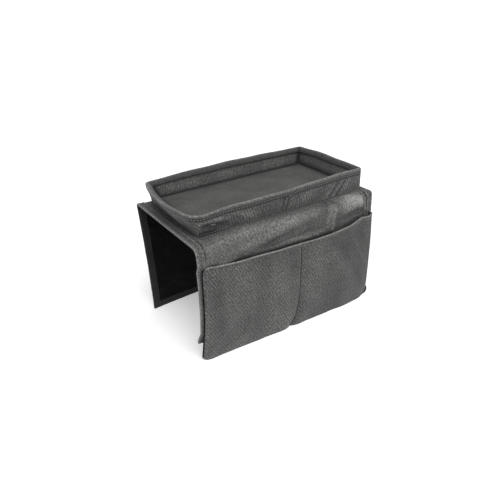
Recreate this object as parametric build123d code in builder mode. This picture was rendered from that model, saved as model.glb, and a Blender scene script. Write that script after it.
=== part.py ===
"""Sofa arm tray: a cloth saddle for a sofa's arm, with a stiffened tray on top and two pockets in front.

The frame: X runs along the sofa's arm, +Y points to the plain back flap, -Y to the pockets and +Z up.
The origin is the middle of the saddle's underside, the face that rests on the arm.
"""

import math
import os

from build123d import *

# Cloth thicknesses and clearances
cloth = 1.2
saddle_cloth = 1.6
hem_cloth = 0.8
fit_gap = 0.3
sewn_gap = 0.05
overrun = 40.0

# Saddle: the flat top and the two folds over the arm's edges
saddle_length = 330.0
top_width = 170.0
standing_height = 185.0
front_fold_radius = 12.0
back_fold_radius = 5.0
hem_width = 11.0

# Front flap, which ends above the ground because the pockets hang below it
front_flap_end = 158.0
front_bow_left = 4.0
front_bow_right = 1.0
front_lean_left = 4.0
front_lean_right = 1.0

# Back flap, which leans in under the tray, most of all at its left end
back_lean_left = 20.0
back_lean_right = 6.0
back_bow_left = 4.0
back_bow_right = 0.6

# Tray: margins of the saddle's top around its base, wall height, flare and bow of the soft walls
tray_left_margin = 21.5
tray_right_margin = 14.5
tray_front_margin = 10.0
tray_back_margin = 3.0
wall_height = 38.0
left_flare_back = 8.0
left_flare_front = 19.0
front_flare_left = 12.0
front_flare_right = -2.0
right_flare_back = 4.0
right_flare_front = 8.0
back_flare = 1.0
base_bow = 0.4
left_bow = 11.0
front_bow = 3.0
right_bow = 0.6
back_bow = 2.0
base_corner_radius = 14.0
rim_corner_radius = 14.0
soft_corner_radius = 26.0
least_radius = 2.0
corner_chords = 3

# Tray layers from the outside in, and the floor
wall_board_thickness = 2.0
wall_pad_base = 8.0
wall_pad_rim = 1.4
wall_board_end_gap = 19.0
wall_board_top_gap = 3.0
floor_board_thickness = 2.5
floor_pad_thickness = 5.8
rim_tape_thickness = 0.7
rim_tape_height = 7.0
seam_rib_height = 0.9
seam_rib_width = 1.8

# Facing: the loose cloth that runs from the tray over the front fold and down behind the pockets
facing_left_margin = 16.0
facing_right_margin = 13.0
facing_slack = 1.6
facing_bow_gain = 1.18
facing_fold_depth = 1.0

# Pockets: margins from the saddle's ends, and depths from the facing to the outside of the pocket
mouth_drop = 36.0
mouth_left_margin = 12.0
mouth_right_margin = 6.0
bag_left_margin = 3.0
bag_right_margin = 2.0
bag_corner_radius = 17.0
mouth_depth = 13.0
bottom_depth = 11.0
pocket_belly = 4.0
mouth_hem_height = 6.0
divider_top_x = 12.0
divider_bottom_x = 5.0

# Places along X where the hanging cloth is drawn, and how its depths change from place to place
flap_place_shares = (-1.0, -0.93, -0.5, 0.0, 0.5, 0.93, 1.0)
bag_place_shares = (-1.0, -0.5, 0.05, 0.5, 1.0)
facing_fold_shares = (0.3, 0.8, 0.4, 0.9, 0.9)
mouth_depth_shares = (0.85, 1.0, 0.94, 1.0, 0.7)
bottom_depth_shares = (0.6, 0.95, 0.9, 1.1, 0.55)
pocket_belly_shares = (0.6, 1.0, 0.6, 1.0, 0.4)

# Places that follow from the sizes above
top_z = saddle_cloth
half_length = saddle_length / 2
tray_length = saddle_length - tray_left_margin - tray_right_margin
tray_depth = top_width - tray_front_margin - tray_back_margin
tray_shift_x = (tray_left_margin - tray_right_margin) / 2
tray_shift_y = (tray_front_margin - tray_back_margin) / 2
facing_left_x = facing_left_margin - half_length
facing_right_x = half_length - facing_right_margin
mouth_z = -mouth_drop
mouth_left_x = mouth_left_margin - half_length
mouth_right_x = half_length - mouth_right_margin
bag_left_x = bag_left_margin - half_length
bag_right_x = half_length - bag_right_margin
hem_start_x = half_length - hem_width
front_edge_y = -top_width / 2
back_edge_y = top_width / 2
front_face_y = front_edge_y - front_fold_radius
back_face_y = back_edge_y + back_fold_radius
front_flap_top_z = top_z - front_fold_radius
back_flap_top_z = top_z - back_fold_radius
ground_z = -standing_height
rim_z = top_z + wall_height
wall_top_z = rim_z - rim_tape_thickness
tray_front_y = tray_shift_y - tray_depth / 2
pad_inset = cloth + wall_board_thickness
base_inset = pad_inset + wall_pad_base
rim_inset = pad_inset + wall_pad_rim
floor_pad_z = top_z + floor_board_thickness
floor_z = floor_pad_z + floor_pad_thickness

os.makedirs("parts", exist_ok=True)


# Drawing helpers
def section_plane(x):
    """A plane across the saddle at x, whose own axes are Y and Z."""
    return Plane(origin=(x, 0, 0), x_dir=(0, 1, 0), z_dir=(1, 0, 0))


def strip_section(x, outer_top, outer_bottom, outer_bow, inner_top, inner_bottom, inner_bow):
    """A hanging strip cut across at x: an outer and an inner arc, joined by short lines."""
    with BuildSketch(section_plane(x)) as section:
        with BuildLine():
            SagittaArc(outer_top, outer_bottom, outer_bow)
            Line(outer_bottom, inner_bottom)
            SagittaArc(inner_top, inner_bottom, inner_bow)
            Line(inner_top, outer_top)
        make_face()
    return section.sketch.faces()[0]


def place_share(x):
    """How far along the saddle x lies: zero at the left end and one at the right end."""
    return (x + half_length) / saddle_length


def slab(x_from, x_to, y_from, y_to, z_from, z_to):
    """A plain block between the given planes, used as cloth strips and as cutting zones."""
    with BuildPart() as block:
        with BuildSketch(Plane.XY.offset(z_from)):
            with Locations(((x_from + x_to) / 2, (y_from + y_to) / 2)):
                Rectangle(x_to - x_from, y_to - y_from)
        extrude(amount=z_to - z_from)
    return block.part


def fold_profile(x, edge_y, radius, side, inside, outside):
    """A quarter ring over the arm's edge; inside and outside are measured from the saddle's own face."""
    middle_z = top_z - radius
    inner = radius + inside
    outer = radius + outside
    with BuildSketch(section_plane(x)) as profile:
        with Locations((edge_y, middle_z)):
            Circle(outer)
            Circle(inner, mode=Mode.SUBTRACT)
            towards = Align.MIN if side > 0 else Align.MAX
            Rectangle(outer, outer, align=(towards, Align.MIN), mode=Mode.INTERSECT)
    return profile.sketch


# Saddle top and its turned side hems
with BuildPart() as saddle_top:
    with BuildSketch():
        Rectangle(saddle_length, top_width)
    extrude(amount=saddle_cloth)
saddle_top.part.label = "saddle_top"
export_step(saddle_top.part, "parts/saddle_top.step")

with BuildPart() as top_side_hems:
    with BuildSketch(Plane.XY.offset(top_z)):
        with Locations((half_length - hem_width / 2, 0), (hem_width / 2 - half_length, 0)):
            Rectangle(hem_width, top_width)
    extrude(amount=hem_cloth)
top_side_hems.part.label = "top_side_hems"
export_step(top_side_hems.part, "parts/top_side_hems.step")

# The two folds, each a quarter of a tube, and the hems that turn over them
with BuildPart() as front_fold:
    profile = fold_profile(-half_length, front_edge_y, front_fold_radius, -1, -saddle_cloth, 0)
    extrude(profile, amount=saddle_length)
front_fold.part.label = "front_fold"
export_step(front_fold.part, "parts/front_fold.step")

with BuildPart() as back_fold:
    profile = fold_profile(-half_length, back_edge_y, back_fold_radius, 1, -saddle_cloth, 0)
    extrude(profile, amount=saddle_length)
back_fold.part.label = "back_fold"
export_step(back_fold.part, "parts/back_fold.step")

with BuildPart() as front_fold_hems:
    profile = fold_profile(hem_start_x, front_edge_y, front_fold_radius, -1, 0, hem_cloth)
    extrude(profile, amount=hem_width)
    mirror(about=Plane.YZ)
front_fold_hems.part.label = "front_fold_hems"
export_step(front_fold_hems.part, "parts/front_fold_hems.step")

with BuildPart() as back_fold_hems:
    profile = fold_profile(hem_start_x, back_edge_y, back_fold_radius, 1, 0, hem_cloth)
    extrude(profile, amount=hem_width)
    mirror(about=Plane.YZ)
back_fold_hems.part.label = "back_fold_hems"
export_step(back_fold_hems.part, "parts/back_fold_hems.step")


# Front flap: a hanging sheet that bows forward, most of all at its left end
def front_bow_at(x):
    share = 1 - place_share(x)
    return front_bow_right + (front_bow_left - front_bow_right) * share * share


def front_lean_at(x):
    return front_lean_right + (front_lean_left - front_lean_right) * (1 - place_share(x))


def front_sections(places, outside, inside):
    """Sections of the front flap between two distances outside its own face."""
    sections = []
    for x in places:
        bow = front_bow_at(x)
        top_y = front_face_y
        bottom_y = front_face_y - front_lean_at(x)
        outer_top = (top_y - outside, front_flap_top_z)
        outer_bottom = (bottom_y - outside, -front_flap_end)
        inner_top = (top_y - inside, front_flap_top_z)
        inner_bottom = (bottom_y - inside, -front_flap_end)
        section = strip_section(x, outer_top, outer_bottom, -bow, inner_top, inner_bottom, -bow)
        sections.append(section)
    return sections


flap_places = [half_length * share for share in flap_place_shares]
left_hem_zone = slab(
    -half_length, -hem_start_x, -top_width, top_width, ground_z - overrun, overrun
)
right_hem_zone = slab(hem_start_x, half_length, -top_width, top_width, ground_z - overrun, overrun)

with BuildPart() as front_flap:
    loft(sections=front_sections(flap_places, 0, -saddle_cloth))
front_flap.part.label = "front_flap"
export_step(front_flap.part, "parts/front_flap.step")

with BuildPart() as front_hem_left:
    loft(sections=front_sections(flap_places, hem_cloth, sewn_gap))
    add(left_hem_zone, mode=Mode.INTERSECT)
front_hem_left.part.label = "front_hem_left"
export_step(front_hem_left.part, "parts/front_hem_left.step")

with BuildPart() as front_hem_right:
    loft(sections=front_sections(flap_places, hem_cloth, sewn_gap))
    add(right_hem_zone, mode=Mode.INTERSECT)
front_hem_right.part.label = "front_hem_right"
export_step(front_hem_right.part, "parts/front_hem_right.step")

# The bottom hem is turned to the flap's inside
front_hem_zone = slab(
    -half_length,
    half_length,
    front_face_y - overrun,
    front_face_y + overrun,
    -front_flap_end,
    -front_flap_end + hem_width,
)
with BuildPart() as front_hem_bottom:
    hem_seat = saddle_cloth + sewn_gap
    loft(sections=front_sections(flap_places, -hem_seat, -hem_seat - hem_cloth))
    add(front_hem_zone, mode=Mode.INTERSECT)
front_hem_bottom.part.label = "front_hem_bottom"
export_step(front_hem_bottom.part, "parts/front_hem_bottom.step")


# Back flap: a plain hanging sheet that leans in
def back_sections(places, outside, inside):
    """Sections of the back flap between two distances outside its own face."""
    sections = []
    for x in places:
        share = 1 - place_share(x)
        lean = back_lean_right + (back_lean_left - back_lean_right) * share * share
        bow = back_bow_right + (back_bow_left - back_bow_right) * share
        outer_top = (back_face_y + outside, back_flap_top_z)
        outer_bottom = (back_face_y - lean + outside, ground_z)
        inner_top = (back_face_y + inside, back_flap_top_z)
        inner_bottom = (back_face_y - lean + inside, ground_z)
        section = strip_section(x, outer_top, outer_bottom, -bow, inner_top, inner_bottom, -bow)
        sections.append(section)
    return sections


with BuildPart() as back_flap:
    loft(sections=back_sections(flap_places, 0, -saddle_cloth))
back_flap.part.label = "back_flap"
export_step(back_flap.part, "parts/back_flap.step")

with BuildPart() as back_hem_left:
    loft(sections=back_sections(flap_places, hem_cloth, sewn_gap))
    add(left_hem_zone, mode=Mode.INTERSECT)
back_hem_left.part.label = "back_hem_left"
export_step(back_hem_left.part, "parts/back_hem_left.step")

with BuildPart() as back_hem_right:
    loft(sections=back_sections(flap_places, hem_cloth, sewn_gap))
    add(right_hem_zone, mode=Mode.INTERSECT)
back_hem_right.part.label = "back_hem_right"
export_step(back_hem_right.part, "parts/back_hem_right.step")

back_hem_zone = slab(
    -hem_start_x,
    hem_start_x,
    back_edge_y - overrun,
    back_edge_y + overrun,
    ground_z,
    ground_z + hem_width,
)
with BuildPart() as back_hem_bottom:
    loft(sections=back_sections(flap_places, hem_cloth, sewn_gap))
    add(back_hem_zone, mode=Mode.INTERSECT)
back_hem_bottom.part.label = "back_hem_bottom"
export_step(back_hem_bottom.part, "parts/back_hem_bottom.step")

# Facing over the top's front strip and over the front fold
facing_length = facing_right_x - facing_left_x
facing_start_y = tray_front_y - cloth
with BuildPart() as facing_top:
    with BuildSketch(Plane.XY.offset(top_z)):
        with Locations((facing_left_x, front_edge_y)):
            Rectangle(
                facing_length, facing_start_y - front_edge_y, align=(Align.MIN, Align.MIN)
            )
    extrude(amount=cloth)
facing_top.part.label = "facing_top"
export_step(facing_top.part, "parts/facing_top.step")

with BuildPart() as facing_fold:
    profile = fold_profile(facing_left_x, front_edge_y, front_fold_radius, -1, 0, cloth)
    extrude(profile, amount=facing_length)
facing_fold.part.label = "facing_fold"
export_step(facing_fold.part, "parts/facing_fold.step")


# Pocket bag: the facing is its back, and all of its sheets are drawn from the same curves
def bag_outline(top, inset):
    """The bag seen from the front, as a deep block: tapered sides and rounded lower corners."""
    left_x = facing_left_x if top == front_flap_top_z else mouth_left_x
    right_x = facing_right_x if top == front_flap_top_z else mouth_right_x
    with BuildPart() as block:
        with BuildSketch(Plane.XZ.offset(-front_face_y - overrun / 2)):
            with BuildLine():
                Polyline(
                    (left_x, top),
                    (mouth_left_x, mouth_z),
                    (bag_left_x, ground_z),
                    (bag_right_x, ground_z),
                    (mouth_right_x, mouth_z),
                    (right_x, top),
                    close=True,
                )
            make_face()
            fillet(vertices().group_by(Axis.Y)[0], bag_corner_radius)
            if inset:
                offset(amount=-inset, mode=Mode.REPLACE)
        extrude(amount=overrun * 2)
    return block.part


facing_block = bag_outline(front_flap_top_z, 0)
bag_block = bag_outline(overrun, 0)
bag_inside_block = bag_outline(overrun, cloth)

facing_sections = []
behind_facing_sections = []
pocket_sections = []
pocket_hem_sections = []
before_pocket_sections = []
for index in range(len(bag_place_shares)):
    x = half_length * bag_place_shares[index]
    fold_depth = facing_fold_depth * facing_fold_shares[index]
    bow = front_bow_at(x) * facing_bow_gain + facing_slack + fold_depth
    facing_y = front_face_y - cloth
    facing_bottom_y = facing_y - front_lean_at(x)
    mouth_way = (front_flap_top_z - mouth_z) / (front_flap_top_z - ground_z)
    facing_mouth_y = facing_y - 4 * bow * mouth_way * (1 - mouth_way)
    mouth_y = facing_mouth_y - mouth_depth * mouth_depth_shares[index]
    bottom_y = facing_bottom_y - bottom_depth * bottom_depth_shares[index]
    belly = pocket_belly * pocket_belly_shares[index] + bow * (1 - mouth_way) / 2

    facing_top_point = (facing_y, front_flap_top_z)
    facing_bottom_point = (facing_bottom_y, ground_z)
    section = strip_section(
        x,
        facing_top_point,
        facing_bottom_point,
        -bow,
        (facing_y + cloth, front_flap_top_z),
        (facing_bottom_y + cloth, ground_z),
        -bow,
    )
    facing_sections.append(section)
    section = strip_section(
        x,
        (facing_y - sewn_gap, front_flap_top_z),
        (facing_bottom_y - sewn_gap, ground_z),
        -bow,
        (front_face_y + overrun, front_flap_top_z),
        (front_face_y + overrun, ground_z),
        -bow,
    )
    behind_facing_sections.append(section)
    section = strip_section(
        x,
        (mouth_y, mouth_z),
        (bottom_y, ground_z),
        -belly,
        (mouth_y + cloth, mouth_z),
        (bottom_y + cloth, ground_z),
        -belly,
    )
    pocket_sections.append(section)
    section = strip_section(
        x,
        (mouth_y - hem_cloth, mouth_z),
        (bottom_y - hem_cloth, ground_z),
        -belly,
        (mouth_y, mouth_z),
        (bottom_y, ground_z),
        -belly,
    )
    pocket_hem_sections.append(section)
    section = strip_section(
        x,
        (mouth_y + cloth + sewn_gap, mouth_z),
        (bottom_y + cloth + sewn_gap, ground_z),
        -belly,
        (front_face_y + overrun / 2, mouth_z),
        (front_face_y + overrun / 2, ground_z),
        -belly,
    )
    before_pocket_sections.append(section)

with BuildPart() as facing_front:
    loft(sections=facing_sections)
    add(facing_block, mode=Mode.INTERSECT)
facing_front.part.label = "facing_front"
export_step(facing_front.part, "parts/facing_front.step")

# The pocket front is one panel for each pocket, which meet along the divider's seam
divider_middle_top_x = divider_top_x + cloth / 2
divider_middle_bottom_x = divider_bottom_x + cloth / 2


def panel_zone(far_x):
    """A deep block on one side of the divider's seam."""
    with BuildPart() as zone:
        with BuildSketch(Plane.XZ.offset(-front_face_y - overrun / 2)):
            with BuildLine():
                Polyline(
                    (divider_middle_top_x, overrun),
                    (divider_middle_top_x, mouth_z),
                    (divider_middle_bottom_x, ground_z),
                    (divider_middle_bottom_x, ground_z - overrun),
                    (far_x, ground_z - overrun),
                    (far_x, overrun),
                    close=True,
                )
            make_face()
        extrude(amount=overrun * 2)
    return zone.part


with BuildPart() as pocket_front_left:
    loft(sections=pocket_sections)
    add(bag_block, mode=Mode.INTERSECT)
    add(panel_zone(-half_length - overrun), mode=Mode.INTERSECT)
pocket_front_left.part.label = "pocket_front_left"
export_step(pocket_front_left.part, "parts/pocket_front_left.step")

with BuildPart() as pocket_front_right:
    loft(sections=pocket_sections)
    add(bag_block, mode=Mode.INTERSECT)
    add(panel_zone(half_length + overrun), mode=Mode.INTERSECT)
pocket_front_right.part.label = "pocket_front_right"
export_step(pocket_front_right.part, "parts/pocket_front_right.step")

mouth_zone = slab(
    -half_length,
    half_length,
    front_face_y - overrun,
    front_face_y + overrun,
    mouth_z - mouth_hem_height,
    mouth_z,
)
with BuildPart() as pocket_mouth_hem:
    loft(sections=pocket_hem_sections)
    add(bag_block, mode=Mode.INTERSECT)
    add(mouth_zone, mode=Mode.INTERSECT)
pocket_mouth_hem.part.label = "pocket_mouth_hem"
export_step(pocket_mouth_hem.part, "parts/pocket_mouth_hem.step")

# The space between the facing and the pocket's front, from which the gussets and the divider are cut
with BuildPart() as behind_facing:
    loft(sections=behind_facing_sections)

with BuildPart() as pocket_space:
    loft(sections=before_pocket_sections)
    add(behind_facing.part, mode=Mode.SUBTRACT)

with BuildPart() as gusset_band:
    add(pocket_space.part)
    add(bag_block, mode=Mode.INTERSECT)
    add(bag_inside_block, mode=Mode.SUBTRACT)

left_split_x = bag_left_x + bag_corner_radius
right_split_x = bag_right_x - bag_corner_radius
gusset_far_y = front_face_y - overrun
gusset_top_z = overrun
gusset_low_z = ground_z - overrun
left_gusset_zone = slab(
    -half_length - overrun, left_split_x, gusset_far_y, overrun, gusset_low_z, gusset_top_z
)
right_gusset_zone = slab(
    right_split_x, half_length + overrun, gusset_far_y, overrun, gusset_low_z, gusset_top_z
)
bottom_gusset_zone = slab(
    left_split_x, right_split_x, gusset_far_y, overrun, gusset_low_z, gusset_top_z
)

with BuildPart() as pocket_gusset_left:
    add(gusset_band.part)
    add(left_gusset_zone, mode=Mode.INTERSECT)
pocket_gusset_left.part.label = "pocket_gusset_left"
export_step(pocket_gusset_left.part, "parts/pocket_gusset_left.step")

with BuildPart() as pocket_gusset_right:
    add(gusset_band.part)
    add(right_gusset_zone, mode=Mode.INTERSECT)
pocket_gusset_right.part.label = "pocket_gusset_right"
export_step(pocket_gusset_right.part, "parts/pocket_gusset_right.step")

with BuildPart() as pocket_gusset_bottom:
    add(gusset_band.part)
    add(bottom_gusset_zone, mode=Mode.INTERSECT)
pocket_gusset_bottom.part.label = "pocket_gusset_bottom"
export_step(pocket_gusset_bottom.part, "parts/pocket_gusset_bottom.step")

with BuildPart() as divider_slab:
    with BuildSketch(Plane.XZ.offset(-front_face_y - overrun / 2)):
        with BuildLine():
            Polyline(
                (divider_top_x, mouth_z),
                (divider_bottom_x, ground_z),
                (divider_bottom_x + cloth, ground_z),
                (divider_top_x + cloth, mouth_z),
                close=True,
            )
        make_face()
    extrude(amount=overrun * 2)

with BuildPart() as pocket_divider:
    add(pocket_space.part)
    add(bag_inside_block, mode=Mode.INTERSECT)
    add(divider_slab.part, mode=Mode.INTERSECT)
pocket_divider.part.label = "pocket_divider"
export_step(pocket_divider.part, "parts/pocket_divider.step")


# Tray walls: every layer is cut from the same flaring body, so the layers nest
def tray_plane(z):
    return Plane(origin=(tray_shift_x, tray_shift_y, z))


def corner_points(corner, before, after, radius):
    """Points round a corner whose sides come from before and go on to after."""
    corner = Vector(*corner)
    towards_before = (Vector(*before) - corner).normalized()
    towards_after = (Vector(*after) - corner).normalized()
    half_angle = math.radians(towards_before.get_angle(towards_after)) / 2
    middle_way = (towards_before + towards_after).normalized()
    centre = corner + middle_way * (radius / math.sin(half_angle))
    first = corner + towards_before * (radius / math.tan(half_angle)) - centre
    turn = 180 - 2 * math.degrees(half_angle)
    points = []
    for step in range(corner_chords + 1):
        points.append(centre + first.rotate(Axis.Z, turn * step / corner_chords))
    return points


def outline_face(z, corners, bows, radii, inset):
    """The tray's outline at height z: four bowed sides with rounded corners, moved in by inset."""
    moved = []
    for x, y in corners:
        moved.append((x - inset if x > 0 else x + inset, y - inset if y > 0 else y + inset))
    rounded = []
    for index in range(len(moved)):
        radius = max(radii[index] - inset, least_radius)
        after = moved[(index + 1) % len(moved)]
        rounded.append(corner_points(moved[index], moved[index - 1], after, radius))
    with BuildSketch(tray_plane(z)) as outline:
        with BuildLine():
            for points, next_points, bow in zip(rounded, rounded[1:] + rounded[:1], bows):
                Polyline(*points)
                SagittaArc(points[-1], next_points[0], -bow)
        make_face()
    return outline.sketch.faces()[0]


half_tray_length = tray_length / 2
half_tray_depth = tray_depth / 2
base_corners = [
    (-half_tray_length, half_tray_depth),
    (-half_tray_length, -half_tray_depth),
    (half_tray_length, -half_tray_depth),
    (half_tray_length, half_tray_depth),
]
rim_corners = [
    (-half_tray_length - left_flare_back, half_tray_depth + back_flare),
    (-half_tray_length - left_flare_front, -half_tray_depth - front_flare_left),
    (half_tray_length + right_flare_front, -half_tray_depth - front_flare_right),
    (half_tray_length + right_flare_back, half_tray_depth + back_flare),
]
base_bows = [base_bow] * 4
rim_bows = [left_bow, front_bow, right_bow, back_bow]
base_radii = [base_corner_radius] * 4
rim_radii = [rim_corner_radius, soft_corner_radius, rim_corner_radius, rim_corner_radius]


def tray_body(inset_at_base, inset_at_rim):
    """The solid block inside the tray's wall at a given depth, from the saddle's top to the rim."""
    base = outline_face(top_z, base_corners, base_bows, base_radii, inset_at_base)
    rim = outline_face(rim_z, rim_corners, rim_bows, rim_radii, inset_at_rim)
    with BuildPart() as body:
        loft(sections=[base, rim], ruled=True)
    return body.part


def wall_sector(side):
    """The part of the tray that belongs to one wall, mitred at the corners."""
    ridge = half_tray_length - half_tray_depth
    far_x = half_tray_length + overrun
    far_y = half_tray_depth + overrun
    outlines = {
        "front": [(-ridge, 0), (-far_x, -far_y), (far_x, -far_y), (ridge, 0)],
        "back": [(-ridge, 0), (-far_x, far_y), (far_x, far_y), (ridge, 0)],
        "left": [(-ridge, 0), (-far_x, far_y), (-far_x, -far_y)],
        "right": [(ridge, 0), (far_x, far_y), (far_x, -far_y)],
    }
    with BuildPart() as sector:
        with BuildSketch(tray_plane(top_z)):
            with BuildLine():
                Polyline(*outlines[side], close=True)
            make_face()
        extrude(amount=wall_top_z - top_z)
    return sector.part


outer_body = tray_body(0, 0)
board_outer_body = tray_body(cloth, cloth)
board_inner_body = tray_body(pad_inset, pad_inset)
inner_body = tray_body(base_inset, rim_inset)

with BuildPart() as cover_ring:
    add(outer_body)
    add(board_outer_body, mode=Mode.SUBTRACT)

with BuildPart() as lengthwise_board_zone:
    with BuildSketch(tray_plane(top_z)):
        Rectangle(tray_length - 2 * wall_board_end_gap, tray_depth + overrun * 2)
    extrude(amount=wall_height - wall_board_top_gap)

with BuildPart() as crosswise_board_zone:
    with BuildSketch(tray_plane(top_z)):
        Rectangle(tray_length + overrun * 2, tray_depth - 2 * wall_board_end_gap)
    extrude(amount=wall_height - wall_board_top_gap)

with BuildPart() as board_ring:
    add(board_outer_body)
    add(board_inner_body, mode=Mode.SUBTRACT)

with BuildPart() as padding_ring:
    add(board_outer_body)
    add(inner_body, mode=Mode.SUBTRACT)

# Outer cloth of the four walls
with BuildPart() as wall_cover_front:
    add(cover_ring.part)
    add(wall_sector("front"), mode=Mode.INTERSECT)
wall_cover_front.part.label = "wall_cover_front"
export_step(wall_cover_front.part, "parts/wall_cover_front.step")

with BuildPart() as wall_cover_back:
    add(cover_ring.part)
    add(wall_sector("back"), mode=Mode.INTERSECT)
wall_cover_back.part.label = "wall_cover_back"
export_step(wall_cover_back.part, "parts/wall_cover_back.step")

with BuildPart() as wall_cover_left:
    add(cover_ring.part)
    add(wall_sector("left"), mode=Mode.INTERSECT)
wall_cover_left.part.label = "wall_cover_left"
export_step(wall_cover_left.part, "parts/wall_cover_left.step")

with BuildPart() as wall_cover_right:
    add(cover_ring.part)
    add(wall_sector("right"), mode=Mode.INTERSECT)
wall_cover_right.part.label = "wall_cover_right"
export_step(wall_cover_right.part, "parts/wall_cover_right.step")

# Stiffening boards inside the four walls
with BuildPart() as wall_board_front:
    add(board_ring.part)
    add(wall_sector("front"), mode=Mode.INTERSECT)
    add(lengthwise_board_zone.part, mode=Mode.INTERSECT)
wall_board_front.part.label = "wall_board_front"
export_step(wall_board_front.part, "parts/wall_board_front.step")

with BuildPart() as wall_board_back:
    add(board_ring.part)
    add(wall_sector("back"), mode=Mode.INTERSECT)
    add(lengthwise_board_zone.part, mode=Mode.INTERSECT)
wall_board_back.part.label = "wall_board_back"
export_step(wall_board_back.part, "parts/wall_board_back.step")

with BuildPart() as wall_board_left:
    add(board_ring.part)
    add(wall_sector("left"), mode=Mode.INTERSECT)
    add(crosswise_board_zone.part, mode=Mode.INTERSECT)
wall_board_left.part.label = "wall_board_left"
export_step(wall_board_left.part, "parts/wall_board_left.step")

with BuildPart() as wall_board_right:
    add(board_ring.part)
    add(wall_sector("right"), mode=Mode.INTERSECT)
    add(crosswise_board_zone.part, mode=Mode.INTERSECT)
wall_board_right.part.label = "wall_board_right"
export_step(wall_board_right.part, "parts/wall_board_right.step")

# Padded inner lining of the four walls
with BuildPart() as wall_lining_front:
    add(padding_ring.part)
    add(wall_sector("front"), mode=Mode.INTERSECT)
    add(wall_board_front.part, mode=Mode.SUBTRACT)
wall_lining_front.part.label = "wall_lining_front"
export_step(wall_lining_front.part, "parts/wall_lining_front.step")

with BuildPart() as wall_lining_back:
    add(padding_ring.part)
    add(wall_sector("back"), mode=Mode.INTERSECT)
    add(wall_board_back.part, mode=Mode.SUBTRACT)
wall_lining_back.part.label = "wall_lining_back"
export_step(wall_lining_back.part, "parts/wall_lining_back.step")

with BuildPart() as wall_lining_left:
    add(padding_ring.part)
    add(wall_sector("left"), mode=Mode.INTERSECT)
    add(wall_board_left.part, mode=Mode.SUBTRACT)
wall_lining_left.part.label = "wall_lining_left"
export_step(wall_lining_left.part, "parts/wall_lining_left.step")

with BuildPart() as wall_lining_right:
    add(padding_ring.part)
    add(wall_sector("right"), mode=Mode.INTERSECT)
    add(wall_board_right.part, mode=Mode.SUBTRACT)
wall_lining_right.part.label = "wall_lining_right"
export_step(wall_lining_right.part, "parts/wall_lining_right.step")

# Rim binding: a folded tape that wraps the top of all four walls
with BuildPart() as wall_block:
    add(outer_body)
    add(inner_body, mode=Mode.SUBTRACT)
    split(bisect_by=Plane.XY.offset(wall_top_z), keep=Keep.BOTTOM)

with BuildPart() as rim_binding:
    add(tray_body(-rim_tape_thickness, -rim_tape_thickness))
    add(
        tray_body(base_inset + rim_tape_thickness, rim_inset + rim_tape_thickness),
        mode=Mode.SUBTRACT,
    )
    split(bisect_by=Plane.XY.offset(rim_z - rim_tape_height), keep=Keep.TOP)
    add(wall_block.part, mode=Mode.SUBTRACT)
rim_binding.part.label = "rim_binding"
export_step(rim_binding.part, "parts/rim_binding.step")

# Seam ridges on the outside of the walls: one at each corner and one in the middle of the front
seam_foot_z = top_z + cloth + fit_gap
with BuildPart() as seam_ring:
    add(tray_body(-seam_rib_height, -seam_rib_height))
    add(outer_body, mode=Mode.SUBTRACT)
    split(bisect_by=Plane.XY.offset(rim_z - rim_tape_height), keep=Keep.BOTTOM)

with BuildPart() as corner_seams:
    with BuildSketch(tray_plane(seam_foot_z)):
        for corner in base_corners:
            slant = 45 if corner[0] * corner[1] > 0 else -45
            with Locations(corner):
                Rectangle(overrun * 2, seam_rib_width, rotation=slant)
    extrude(amount=wall_height)
    add(seam_ring.part, mode=Mode.INTERSECT)
corner_seams.part.label = "corner_seams"
export_step(corner_seams.part, "parts/corner_seams.step")

with BuildPart() as front_wall_seam:
    with BuildSketch(tray_plane(seam_foot_z)):
        with Locations((0, -half_tray_depth)):
            Rectangle(seam_rib_width, overrun * 2)
    extrude(amount=wall_height)
    add(seam_ring.part, mode=Mode.INTERSECT)
front_wall_seam.part.label = "front_wall_seam"
export_step(front_wall_seam.part, "parts/front_wall_seam.step")

# Tray floor: a stiff board with a soft pad over it, both let in between the wall linings
floor_body = tray_body(base_inset + fit_gap, rim_inset + fit_gap)

with BuildPart() as tray_floor_board:
    add(floor_body)
    split(bisect_by=Plane.XY.offset(floor_pad_z), keep=Keep.BOTTOM)
tray_floor_board.part.label = "tray_floor_board"
export_step(tray_floor_board.part, "parts/tray_floor_board.step")

with BuildPart() as tray_floor_pad:
    add(floor_body)
    split(bisect_by=Plane.XY.offset(floor_pad_z), keep=Keep.TOP)
    split(bisect_by=Plane.XY.offset(floor_z), keep=Keep.BOTTOM)
tray_floor_pad.part.label = "tray_floor_pad"
export_step(tray_floor_pad.part, "parts/tray_floor_pad.step")
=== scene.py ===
import math

import bpy
import numpy as np
from mathutils import Matrix, Vector


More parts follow.
